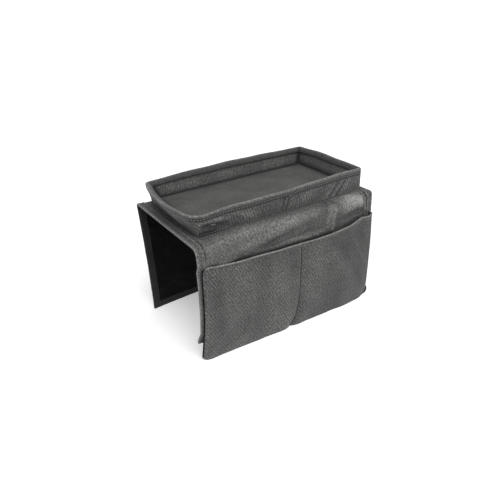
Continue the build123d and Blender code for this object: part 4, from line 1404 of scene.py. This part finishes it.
class ARMTRAY_OT_pocket_panel(bpy.types.Operator):
    """Make the pocket's front with its mouth hem"""
    bl_idname = "arm_tray.pocket_panel"
    bl_label = "Pocket Front"

    def execute(self, context):
        thick = settings().cloth.bag_thickness / MM
        grid, flat = panel_grid()
        shade = panel_shade(flat[..., 0], flat[..., 1])
        piece = cloth_piece("pocket_panel", grid, flat, True, thick, OUTER_FACES, shade=shade)
        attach(piece, FRONT)
        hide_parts("pocket_front_left", "pocket_front_right")
        left_in, right_in = MOUTH_HEM_INSETS
        x = np.linspace(panel_edge(MOUTH, -1) + left_in, panel_edge(MOUTH, 1) - right_in, MOUTH_HEM_COLUMNS)
        grid = np.stack([panel_sheet(x, mouth_height(x) - down, off) for down, off in MOUTH_HEM_SECTION], 1)
        across = np.arange(len(MOUTH_HEM_SECTION)) * MOUTH_HEM_STEP
        flat = paired(x[:, None], MOUTH + across[None, :])
        shade = np.broadcast_to(MOUTH_HEM_SHADES, grid.shape[:2])
        hem = loop_piece("pocket_mouth_edge", grid, flat, "hem weave", flip=True, shade=shade)
        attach(hem, FRONT)
        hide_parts("pocket_mouth_hem")
        return {"FINISHED"}


# The gusset's square lower right corner, which pokes out past the pocket's rounded one
POKE_SIDE = 159.5
POKE_RADIUS = 13
POKE_MOST = 1.42
POKE_OUT = 6.2

# The gusset's hollow between its edges and its gap to the sheets beside it, then the divider's ends
GUSSET_TUCK = 3.4
SHEETS_GAP = 0.1
GUSSET_THINNER = 0.7
GUSSET_CLOTH_DEPTH, DIVIDER_CLOTH_DEPTH = 14, 10
DIVIDER_BELOW_MOUTH, DIVIDER_ABOVE_GROUND = 5, 1.5
DIVIDER_BEHIND_GROOVE = 1.6
DIVIDER_WAVE = (0.8, 40, 71)


def gusset_grid():
    """Rows of points from the panel's edge back to the facing, round the bag's sides and bottom."""
    sides_from, bottom_tall, least_off = 150, 14, 6
    poke_high, poke_x, poke_reach, poke_full = (GROUND + 3, 13), (138, 16), 1.2, 0.8
    side_in, bottom_tuck, bottom_up, front_in = 0.2, 0.25, 0.1, 0.5
    grid, _ = panel_grid()
    edge = np.concatenate([grid[:, 0], grid[-1, 1:-1], grid[::-1, -1]])
    edge_x, front_y, edge_z = edge.T
    upright = np.clip(np.abs(edge_x) / sides_from, 0, 1) ** 8
    reach_back = panel_out(edge_x, edge_z) - FACING_BEHIND_BAG - bag_gap(edge_x)
    back_y = -np.minimum(facing_out(edge_x, edge_z), reach_back) - SHEETS_GAP
    centre_x, centre_z = POKE_SIDE - POKE_RADIUS, GROUND + POKE_RADIUS
    off_x, off_z = edge_x - centre_x, edge_z - centre_z
    corner = (off_x > 0) & (off_z < 0)
    square = POKE_RADIUS / np.maximum(np.maximum(np.abs(off_x), np.abs(off_z)), least_off)
    square = np.clip(np.where(corner, square, 1), 1, POKE_MOST)
    low = hill(edge_z, *poke_high) * rise(edge_x, *poke_x)
    rows = []
    for share in np.linspace(0, 1, GUSSET_ROWS):
        tuck = GUSSET_TUCK * math.sin(math.pi * share)
        x = edge_x - np.sign(edge_x) * (tuck * upright + side_in)
        raised = bottom_tuck * tuck * (1 - upright) + bottom_up
        z = edge_z + np.where(edge_z < GROUND + bottom_tall, raised, 0)
        y = front_y + (back_y - front_y) * share + front_in * (1 - share)
        stretch = 1 + (square - 1) * smooth(share * 2)
        x = np.where(corner, centre_x + off_x * stretch, x)
        z = np.where(corner, centre_z + off_z * stretch, z)
        x = x + POKE_OUT * math.sin(math.pi * min(share * poke_reach, 1)) ** poke_full * low
        rows.append(np.stack([x, y, z], -1))
    way = np.concatenate([[0], np.cumsum(np.linalg.norm(np.diff(edge[:, [0, 2]], axis=0), axis=1))])
    return np.stack(rows, 0), way


def divider_grid():
    """Rows of points from the panel's groove back to the facing."""
    z = np.linspace(MOUTH - DIVIDER_BELOW_MOUTH, GROUND + DIVIDER_ABOVE_GROUND, DIVIDER_COLUMNS)
    seam = divider_x(z)
    front = panel_sheet(seam, z, -DIVIDER_BEHIND_GROOVE)[:, 1]
    back = -facing_out(seam, z) - SHEETS_GAP
    rows = []
    for share in np.linspace(0, 1, DIVIDER_ROWS):
        x = seam + ripples(z, share * 9, DIVIDER_WAVE) * math.sin(math.pi * share)
        rows.append(np.stack([x, front + (back - front) * share, z], -1))
    return np.stack(rows, 0), z


class ARMTRAY_OT_pocket_gusset(bpy.types.Operator):
    """Close the bag's sides and bottom with a gusset, and part it with the divider"""
    bl_idname = "arm_tray.pocket_gusset"
    bl_label = "Gusset and Divider"

    def execute(self, context):
        thick = settings().cloth.bag_thickness / MM * GUSSET_THINNER
        grid, way = gusset_grid()
        flat = paired(way[None, :], np.linspace(0, GUSSET_CLOTH_DEPTH, GUSSET_ROWS)[:, None])
        # Painted shadow: the gusset lies dark in the gap between the sheets, and less dark at its square
        # lower right corner
        dark, light, light_x, light_high = 0.2, 0.3, (140, 15), (GROUND + 26, -12)
        shade = dark + light * rise(grid[..., 0], *light_x) * rise(grid[..., 2], *light_high)
        piece = cloth_piece("pocket_gusset_band", grid, flat, False, thick, GUSSET_FACES, shade=shade)
        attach(piece, FRONT)
        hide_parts("pocket_gusset_left", "pocket_gusset_right", "pocket_gusset_bottom")

        grid, z = divider_grid()
        flat = paired(np.linspace(0, DIVIDER_CLOTH_DEPTH, DIVIDER_ROWS)[:, None], z[None, :])
        piece = cloth_piece("pocket_divider_web", grid, flat, False, thick, DIVIDER_FACES)
        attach(piece, FRONT)
        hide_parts("pocket_divider")
        return {"FINISHED"}


class ARMTRAY_OT_tray_walls(bpy.types.Operator):
    """Raise the four outer walls of the tray"""
    bl_idname = "arm_tray.tray_walls"
    bl_label = "Tray Walls"

    def execute(self, context):
        thick = settings().cloth.bag_thickness / MM
        heights = WALL_ROW_SHARES
        for index, wall in enumerate(WALLS):
            take, along = wall_part(index)
            local = along - along[0]
            ends = rise(local, 0, WALL_FOLDS_IN) * rise(local, local[-1], -WALL_FOLDS_IN)
            folds = np.array([wall_folds(wall, local, np.full_like(local, w)) for w in heights])
            rows = []
            for w, fold in zip(heights, folds):
                out = np.zeros(4 * WALL_STEPS)
                out[take] = fold * ends * rise(w, *WALL_FOLDS_TO_SHARES)
                rows.append(waved_ring(0, 0, w, out=out)[take])
            grid = np.array(rows)
            flat = paired(along[None, :], heights[:, None] * WALL_HEIGHT)
            shade = self.shade_of(wall, local, heights, folds)
            piece = cloth_piece(f"wall_skin_{wall}", grid, flat, False, thick, WALL_FACES, shade=shade)
            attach(piece, ROOT)
            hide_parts(f"wall_cover_{wall}")
            size = (float(along[-1] - along[0]) * MM, WALL_CLOTH_HEIGHT)
        return {"FINISHED"}

    def shade_of(self, wall, local, heights, folds):
        """Painted shade at the foot, in the folds' valleys, beside the seam and under the rim's binding, with
        painted highlights on the folds' crests.
        """
        fold_light, foot_dark, rim_dark, rim_groove = 0.5, 0.35, 0.95, (0.8, 1.7)
        shade = 1 + fold_light * np.clip(folds, -1.2, 1.2) - foot_dark * smooth(1 - heights[:, None] * 6)
        if wall == "front":
            shade = self.front_shade(shade, local, heights)
        below = (1 - heights)[:, None] * (RIM - TOP) - settings().hems.binding_height / MM
        return shade * (1 - rim_dark * hill(below, *rim_groove))

    def front_shade(self, shade, local, heights):
        """The front wall's painted shade at its foot and brow, its painted highlight on the pad at the left
        end, and painted shade and highlight at its seam.
        """
        foot_dark, foot_way, foot_high = 0.92, (66, -50), (0.3, -0.16)
        brow_dark, brow_way, brow_high = 0.8, (12, 6), (0.74, 0.03)
        pad_light, pad_way, pad_high = 1.1, (6.5, 4), (0.6, 0.07)
        seam_dark, groove, seam_light, ridge_way = 0.7, (-2.2, 2.0), 0.35, (3.5, 2.4)
        foot = rise(local, *foot_way)[None, :] * rise(heights, *foot_high)[:, None]
        brow = hill(local, *brow_way)[None, :] * hill(heights, *brow_high)[:, None]
        pad = hill(local, *pad_way)[None, :] * hill(heights, *pad_high)[:, None]
        shade = shade * (1 - foot_dark * foot) * (1 - brow_dark * brow) + pad_light * pad
        beside = local - local[WALL_STEPS // 2]
        seam = 1 - seam_dark * hill(beside, *groove) + seam_light * hill(beside, *ridge_way)
        return shade * seam[None, :]


# A lining's section: how far inside the outline at the foot and at the rim, at a share of the height,
# and the place of each point across the cloth
LINING_SECTION_SHARES = (
    (3.4, 3.4, 0.02), (11.0, 4.6, 0.0), (11.2, 4.6, 0.2), (11.3, 4.7, 0.26), (11.2, 4.8, 0.34),
    (11.1, 4.9, 0.45), (11.0, 5.0, 0.56), (10.9, 5.0, 0.67), (10.8, 4.9, 0.73), (10.6, 4.7, 0.78),
    (10.2, 4.4, 0.88), (9.8, 4.2, 0.95), (3.4, 3.4, 0.95),
)
LINING_ACROSS = (-8, -5, 0, 2, 5, 9, 13, 17, 19, 21, 25, 28, 34)
LEAST_INNER_RADIUS = 1.2

# The padding's swell: its height, the share of the wall below it, how it fades out at the wall's ends, and
# the size and seed of its unevenness. The cloud makes the painted sheen along the wall uneven.
LINING_SWELL, LINING_FOOT_SHARE, LINING_ENDS = 0.9, 0.15, 16
LINING_SIZE, LINING_SEED = 80, 80
CLOUD_SIZE, CLOUD_SEED = 110, 84


def show_board(name):
    """Gives a hidden board, which stays the CAD's own solid, its material."""
    board = bpy.data.objects.get(name)
    if board is None:
        raise RuntimeError(f"there is no board named {name}")
    board.data.materials.clear()
    board.data.materials.append(bpy.data.materials["stiffening board"])


class ARMTRAY_OT_tray_linings(bpy.types.Operator):
    """Pad the inside of the four walls"""
    bl_idname = "arm_tray.tray_linings"
    bl_label = "Tray Linings"

    def execute(self, context):
        for index, wall in enumerate(WALLS):
            take, along = wall_part(index)
            local = along - along[0]
            ends = rise(local, 0, LINING_ENDS) * rise(local, local[-1], -LINING_ENDS)
            rows = []
            for k, (base_in, rim_in, w) in enumerate(LINING_SECTION_SHARES):
                out = np.zeros(4 * WALL_STEPS)
                if 0 < k < len(LINING_SECTION_SHARES) - 1:
                    up = (w - LINING_FOOT_SHARE) / (1 - LINING_FOOT_SHARE)
                    swell = LINING_SWELL * math.sin(math.pi * min(1, max(0, up)))
                    uneven = ripple(local, w * WALL_HEIGHT, LINING_SIZE, LINING_SEED + index)
                    out[take] = -swell * (0.6 + 0.5 * uneven) * ends
                rows.append(waved_ring(base_in, rim_in, w, out=out, least=LEAST_INNER_RADIUS)[take])
            flat = paired(along[:, None], np.array(LINING_ACROSS, float)[None, :])
            cloud = ripple(local, 0 * local, CLOUD_SIZE, CLOUD_SEED + index)
            shade = self.shade_of(wall, local, cloud)
            grid = np.stack(rows, 1)
            piece = loop_piece(f"wall_padding_{wall}", grid, flat, "lining weave", flip=True, shade=shade)
            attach(piece, ROOT)
            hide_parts(f"wall_lining_{wall}")
            show_board(f"wall_board_{wall}")
        return {"FINISHED"}

    def shade_of(self, wall, local, cloud):
        """Painted shade at the foot, in the corners and in the groove under the rim's hem, with a painted
        sheen between.
        """
        high = np.array([point[2] for point in LINING_SECTION_SHARES])[None, :]
        least, dark_to, dark_corner = 0.15, 0.25, 2
        groove_dark, groove, painted_sheen_light, middle = 0.7, (0.76, 0.045), 0.6, (0.52, 0.17)
        if wall == "right":
            least, dark_to = 0.03, 0.29
        if wall == "back":
            dark_corner = 8
        band = least + (1 - least) * rise(high, dark_to, 0.11) - groove_dark * hill(high, *groove)
        glow = painted_sheen_light * hill(high, *middle) * smooth(cloud * 0.7 + 0.6)[:, None]
        corner = np.minimum(local, local[-1] - local)
        return (band + glow) * (0.03 + 0.97 * rise(corner, dark_corner, 5))[:, None]


# The binding's section: the way in from the wall's outline, and the drop below the rim as a share of
# the binding's height and millimetres more. The painted shades, with painted highlights on its rolled top,
# go with its points, and with the first once more.
BINDING_SECTION_SHARES = (
    (0.1, 1, 0), (-0.75, 1, 0.1), (-1.0, 1, 0.9), (-0.85, 0.6, 0), (-0.9, 0.3, 0), (-0.8, 0, -1.2),
    (-0.3, 0, -0.2), (0.8, 0, 0.45), (2.2, 0, 0.55), (3.6, 0, 0.4), (4.6, 0, -0.3), (5.3, 0, -1.3),
    (6.5, 0.4, 0), (7.6, 0.8, 0), (7.6, 1, 0), (5.6, 1, 0), (4.2, 0, -2.4), (1.2, 0, -2.4),
)
BINDING_SHADES = (
    0.12, 0.14, 0.16, 0.34, 1.1, 1.35, 1.9, 2.4, 1.5, 1.0, 0.8, 0.6, 0.52, 0.5, 0.1, 0.2, 0.2, 0.2, 0.2,
)
BINDING_INNER = (9, 15)
BINDING_UNEVEN = 14
BINDING_WAVE = (0.16, 19, 90)
BINDING_WAVE_STEP = 0.9
# Painted shadow at the tray's back right corner on the binding's inner points: its depth, and where it rises
# and fades along the way past the corner
DARK_CORNER = 0.9
DARK_FROM, DARK_TO = (-3, 2), (9, -4)

# Points closer than this, in metres, are welded
SAME_POINT = 0.00001


class ARMTRAY_OT_rim_binding(bpy.types.Operator):
    """Fold the binding over the tray's rim"""
    bl_idname = "arm_tray.rim_binding"
    bl_label = "Rim Binding"

    def execute(self, context):
        tall = settings().hems.binding_height / MM
        section = [(inset, more - tall * share) for inset, share, more in BINDING_SECTION_SHARES]
        way = ring_lengths()
        rows = []
        for k, (inset, drop) in enumerate(section):
            wobble = ripples(way[:-1], k * BINDING_WAVE_STEP, BINDING_WAVE) if k < BINDING_UNEVEN else 0
            rows.append(waved_ring(inset, inset, 1 + drop / (RIM - TOP), out=wobble))
        grid = np.stack(rows + [rows[0]], 0)
        grid = np.concatenate([grid, grid[:, :1]], 1)
        flat = paired(way[None, :], section_way(section + section[:1])[:, None])
        # Painted shadow on the binding's inner band beside the tray's back right corner
        past = way - way[3 * WALL_STEPS]
        inner = np.zeros(len(BINDING_SHADES))
        inner[slice(*BINDING_INNER)] = DARK_CORNER
        corner = rise(past, *DARK_FROM) * rise(past, *DARK_TO)
        shade = np.array(BINDING_SHADES)[:, None] * (1 - inner[:, None] * corner[None, :])
        piece = new_piece("rim_binding_tape", grid, grid_faces(grid.shape[0], grid.shape[1]), flat, 60, shade)
        piece.data.materials.append(bpy.data.materials["hem weave"])
        weld = piece.modifiers.new("join the seam", "WELD")
        weld.merge_threshold = SAME_POINT
        apply_all(piece)
        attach(piece, ROOT)
        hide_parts("rim_binding")
        return {"FINISHED"}


# The floor's rounded edge: the way in from the tray's outline, the depth below its top and the painted shade
# in the gap at the walls' foot
FLOOR_EDGE = ((11.6, 5.6, 0.1), (11.5, 3.5, 0.1), (11.7, 1.4, 0.1), (12.6, 0.4, 0.1), (14.5, 0.05, 0.18))
FLOOR_IN_AT_RIM = 6.6
FLOOR_SINK = 0.05
FLOOR_RINGS = 26
FLOOR_QUILT = (0.22, 75, 95)
NEXT_RING_SHADE = 0.8


class ARMTRAY_OT_tray_floor(bpy.types.Operator):
    """Lay the padded floor in the tray"""
    bl_idname = "arm_tray.tray_floor"
    bl_label = "Tray Floor"

    def execute(self, context):
        rows = []
        for inset, deep, _ in FLOOR_EDGE:
            w = (FLOOR - deep - TOP) / (RIM - TOP)
            rows.append(tray_ring(inset, inset - FLOOR_IN_AT_RIM, w, least=LEAST_INNER_RADIUS))
        ring = rows[-1]
        centre = ring.mean(axis=0)
        for share in np.linspace(0, 1, FLOOR_RINGS)[1:-1]:
            inner = ring + (centre - ring) * share
            quilt = ripples(inner[:, 0], inner[:, 1], FLOOR_QUILT) * smooth(share * 8)
            inner[:, 2] = FLOOR - FLOOR_SINK + quilt
            rows.append(inner)
        grid = np.stack(rows, 0)
        count = grid.shape[1]
        faces = [tuple(f) for f in grid_faces(grid.shape[0], count, closed=True)]
        last = (grid.shape[0] - 1) * count
        points = np.concatenate([grid.reshape(-1, 3), [[centre[0], centre[1], FLOOR - FLOOR_SINK]]])
        faces += [(last + k, last + (k + 1) % count, len(points) - 1) for k in range(count)]
        faces.append(tuple(range(count))[::-1])
        edge_shades = [shade for _, _, shade in FLOOR_EDGE] + [NEXT_RING_SHADE]
        shade = np.ones(len(points))
        shade[:len(edge_shades) * count] = np.repeat(edge_shades, count)
        piece = new_piece("tray_floor_cloth", points, faces, points[:, :2], 50, shade)
        piece.data.materials.append(bpy.data.materials["tray floor cloth"])
        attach(piece, ROOT)
        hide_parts("tray_floor_pad")
        show_board("tray_floor_board")
        return {"FINISHED"}


# The tray's seam ribs: radius and way off the wall, the corners' tones, with a painted highlight on the front
# left one, and the share of the wall they cover
CORNER_RIB, CORNER_RIB_OFF, CORNER_TONES = 0.85, 0.2, (1.0, 1.6, 1.0, 1.0)
FRONT_RIB, FRONT_RIB_OFF, FRONT_RIB_TONE = 0.7, 0.1, 0.3
TAIL_RADIUS, TAIL_TONE = 0.3, 3.0
RIB_SHARES = (0.02, 0.82)
RIB_POINTS = 18
RIB_SIDES = 8
RIB_WAVE_SHARES = ((0.16, 1.1), (0.1, 0.37))


def rib(name, path, outward, radius, tone):
    """A rounded cloth ridge along a path, with uneven width."""
    path = np.asarray(path, float)
    along = np.gradient(path, axis=0)
    along = along / np.linalg.norm(along, axis=1)[:, None]
    up = np.broadcast_to(np.asarray(outward, float), path.shape)
    up = up - along * (up * along).sum(1)[:, None]
    up = up / np.linalg.norm(up, axis=1)[:, None]
    across = np.cross(along, up)
    step = np.arange(len(path))
    wide = radius * (1 + sum(share * np.sin(step * pitch) for share, pitch in RIB_WAVE_SHARES))
    turns = np.linspace(0, math.tau, RIB_SIDES + 1)[:-1]
    flatter = 1.2
    around = [up * math.cos(t) + across * math.sin(t) * flatter for t in turns]
    grid = np.stack([path + outward * wide[:, None] for outward in around], 1)
    flat = paired(step[:, None] * 1.0, turns[None, :])
    return loop_piece(name, grid, flat, "hem weave", shade=np.full(grid.shape[:2], tone))


def wall_line(k, out):
    """A line up the wall at ring point k, a little outside it."""
    return np.array([waved_ring(0, 0, w, out=out)[k] for w in np.linspace(*RIB_SHARES, RIB_POINTS)])


class ARMTRAY_OT_seams(bpy.types.Operator):
    """Raise the seam ridges at the tray's corners and in the middle of its front wall"""
    bl_idname = "arm_tray.seams"
    bl_label = "Wall Seams"

    def execute(self, context):
        ribs = []
        for index, (corner, tone) in enumerate(zip(RIM_CORNERS, CORNER_TONES)):
            outward = (math.copysign(1, corner[0]), math.copysign(1, corner[1]), 0.0)
            path = wall_line(index * WALL_STEPS, CORNER_RIB_OFF)
            ribs.append(rib("corner_rib", path, outward, CORNER_RIB, tone))
        piece = joined("corner_seam_ridges", ribs)
        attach(piece, ROOT)
        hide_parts("corner_seams")

        outward = (0, -1, 0)
        path = wall_line(WALL_STEPS + WALL_STEPS // 2, FRONT_RIB_OFF)
        seam = rib("front_wall_seam_ridge", path, outward, FRONT_RIB, FRONT_RIB_TONE)
        turn = np.linspace(0, 1, 12)
        left, out, down, start_out, start_up = 3.2, 0.9, 3.6, 1.2, 0.8
        curl = np.stack([-left * turn, -start_out - out * np.sin(turn * 3), start_up - down * turn**2], -1)
        tail = rib("thread_tail", path[-2] + curl, outward, TAIL_RADIUS, TAIL_TONE)
        piece = joined("front_wall_seam_ridge", [seam, tail])
        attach(piece, ROOT)
        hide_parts("front_wall_seam")
        return {"FINISHED"}


# Rows of stitches round the tray: group, way in from the outline, share of the binding's height below
# the rim, millimetres more, and which way is out
TRAY_ROWS = (
    ("rim", -1.2, 1, 1.7, 1),
    ("rim_inside", 7.55, 1, 1.9, -1),
    ("foot", -0.5, 0, -34.6, 1),
)
TRAY_THREAD = 0.42

# Rows along the side hems: the ways in from the cloth's edge, the heights off its two faces and the ends'
# distances from the cloth's. Then the same for the row along a lower hem.
HEM_ROWS = (2.2, 9.6)
HEM_ROW_HEIGHTS = (0.98, -2.5)
HEM_ROW_INSETS = (0.5, 1.5)
LOW_ROW = 9.4
LOW_ROW_HEIGHTS = (0.76, -2.05)
LOW_ROW_INSET = 3

# The rows along the facing's head and the pocket's mouth, then its side edges: side, upper and lower end
HEAD_ROW, HEAD_ROW_HEIGHT, HEAD_ROW_ENDS = 4.2, 0.5, (-146, 149)
MOUTH_ROW_BELOW, MOUTH_ROW_HEIGHT, MOUTH_ROW_ENDS = 1.0, 0.85, (-141, 160)
MOUTH_STITCH = {"length": 2.6, "gap": 1.5, "radius": 0.48}
BAG_SIDE_ROWS = ((-1, -54, -166), (1, -40, -168))
BAG_SIDE_IN, BAG_SIDE_HEIGHT = 3.4, 0.1
SEAM_ROW_LEFT, SEAM_ROW_HEIGHT, SEAM_ROW_ENDS = 1.7, 0.05, (-44, -168)
HEAD_THREAD, SEAM_THREAD = 0.5, 0.3


class ARMTRAY_OT_stitching(bpy.types.Operator):
    """Sew all the rows of stitches"""
    bl_idname = "arm_tray.stitching"
    bl_label = "Stitching"

    def execute(self, context):
        STITCHES.clear()
        self.sew_tray()
        self.sew_hems()
        self.sew_front()
        bodies = {"bag": FRONT, "front_low": FRONT, "back_low": BACK}
        folded = {"front_edge": -1, "back_edge": 1}
        for group, (points, faces) in STITCHES.items():
            piece = new_piece(f"stitches_{group}", np.array(points), faces, None, 80)
            inside = group.endswith("_inside")
            piece.data.materials.append(bpy.data.materials["dark thread" if inside else "sewing thread"])
            row = group.removesuffix("_inside")
            if row in folded:
                bend(piece, folded[row])
            else:
                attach(piece, bodies.get(row, ROOT))
        return {"FINISHED"}

    def sew_tray(self):
        """The rim's binding, outside and inside, and the walls' foot."""
        tall = settings().hems.binding_height / MM
        for group, inset, share, more, way_out in TRAY_ROWS:
            ring = waved_ring(inset, inset, 1 + (more - tall * share) / (RIM - TOP))
            ring = np.concatenate([ring, ring[:1]])
            along = np.gradient(ring, axis=0)
            outward = np.stack([along[:, 1], -along[:, 0], np.zeros(len(ring))], -1) * way_out
            stitch(group, ring, outward, radius=TRAY_THREAD)

    def sew_hems(self):
        """Two rows along each side hem and one along each lower hem, on both faces."""
        for _, word, sheet, length, _, _ in FLAPS:
            head, foot = HEM_ROW_INSETS
            s = np.linspace(head, length - foot, 220)
            for x in self.hem_lines():
                for off in HEM_ROW_HEIGHTS:
                    self.sew_face(f"{word}_edge", sheet, np.full_like(s, x), s, off)
            x = np.linspace(-HALF + LOW_ROW_INSET, HALF - LOW_ROW_INSET, 200)
            for off in LOW_ROW_HEIGHTS:
                self.sew_face(f"{word}_low", sheet, x, np.full_like(x, length - LOW_ROW), off)
        y = np.linspace(-EDGE + FOLD_RUN, EDGE - FOLD_RUN, 100)
        for x in self.hem_lines():
            for off in HEM_ROW_HEIGHTS:
                self.sew_face("top_edge", top_sheet, np.full_like(y, x), y, off)

    def hem_lines(self):
        return [end * (HALF - inward) for end in (-1, 1) for inward in HEM_ROWS]

    def sew_face(self, group, sheet, x, s, off):
        """A row on the cloth's outer face, or on its inner one where off is negative."""
        path = sheet(x, s, off)
        outward = sheet(x, s, off + math.copysign(1, off)) - path
        stitch(group + ("" if off > 0 else "_inside"), path, outward)

    def sew_front(self):
        """The facing's head, and the pocket's mouth, side edges and divider."""
        outward = (0, -1, 0)
        x = np.linspace(*HEAD_ROW_ENDS, 160)
        head = facing_sheet(x, np.full_like(x, HEAD_ROW), HEAD_ROW_HEIGHT)
        stitch("head", head, (0, -0.2, 1), radius=HEAD_THREAD)
        x = np.linspace(*MOUTH_ROW_ENDS, 200)
        mouth = panel_sheet(x, mouth_height(x) - MOUTH_ROW_BELOW, MOUTH_ROW_HEIGHT)
        stitch("bag", mouth, (0, -1, 0.4), **MOUTH_STITCH)
        for side, top, low in BAG_SIDE_ROWS:
            z = np.linspace(top, low, 90)
            stitch("bag", panel_sheet(panel_edge(z, side) - side * BAG_SIDE_IN, z, BAG_SIDE_HEIGHT), outward)
        z = np.linspace(*SEAM_ROW_ENDS, 100)
        seam = panel_sheet(divider_x(z) - SEAM_ROW_LEFT, z, SEAM_ROW_HEIGHT)
        stitch("bag", seam, outward, radius=SEAM_THREAD)


class ARMTRAY_PT_panel(bpy.types.Panel):
    """Lists the steps that build the arm tray"""
    bl_idname = "ARMTRAY_PT_panel"
    bl_label = "Arm Tray"
    bl_space_type = "VIEW_3D"
    bl_region_type = "UI"
    bl_category = "Arm Tray"

    def draw(self, context):
        tray = context.scene.arm_tray
        for group in (tray.cloth, tray.hems, tray.folds, tray.stage):
            box = self.layout.box()
            for name in group.__annotations__:
                box.prop(group, name)
        for step in STEPS:
            self.layout.operator(step.bl_idname)


STEPS = (ARMTRAY_OT_stage, ARMTRAY_OT_saddle, ARMTRAY_OT_flaps, ARMTRAY_OT_hems, ARMTRAY_OT_facing,
         ARMTRAY_OT_pocket_panel, ARMTRAY_OT_pocket_gusset, ARMTRAY_OT_tray_walls, ARMTRAY_OT_tray_linings,
         ARMTRAY_OT_rim_binding, ARMTRAY_OT_tray_floor, ARMTRAY_OT_seams, ARMTRAY_OT_stitching)
CLASSES = (ArmTrayCloth, ArmTrayHems, ArmTrayFolds, ArmTrayStage, ArmTraySettings, *STEPS, ARMTRAY_PT_panel)


def register():
    for item in CLASSES:
        bpy.utils.register_class(item)
    bpy.types.Scene.arm_tray = bpy.props.PointerProperty(type=ArmTraySettings)


def unregister():
    del bpy.types.Scene.arm_tray
    for item in reversed(CLASSES):
        bpy.utils.unregister_class(item)


def main():
    register()
    make_finishes()
    for step in STEPS:
        group, name = step.bl_idname.split(".")
        getattr(getattr(bpy.ops, group), name)()


if __name__ == "__main__":
    main()
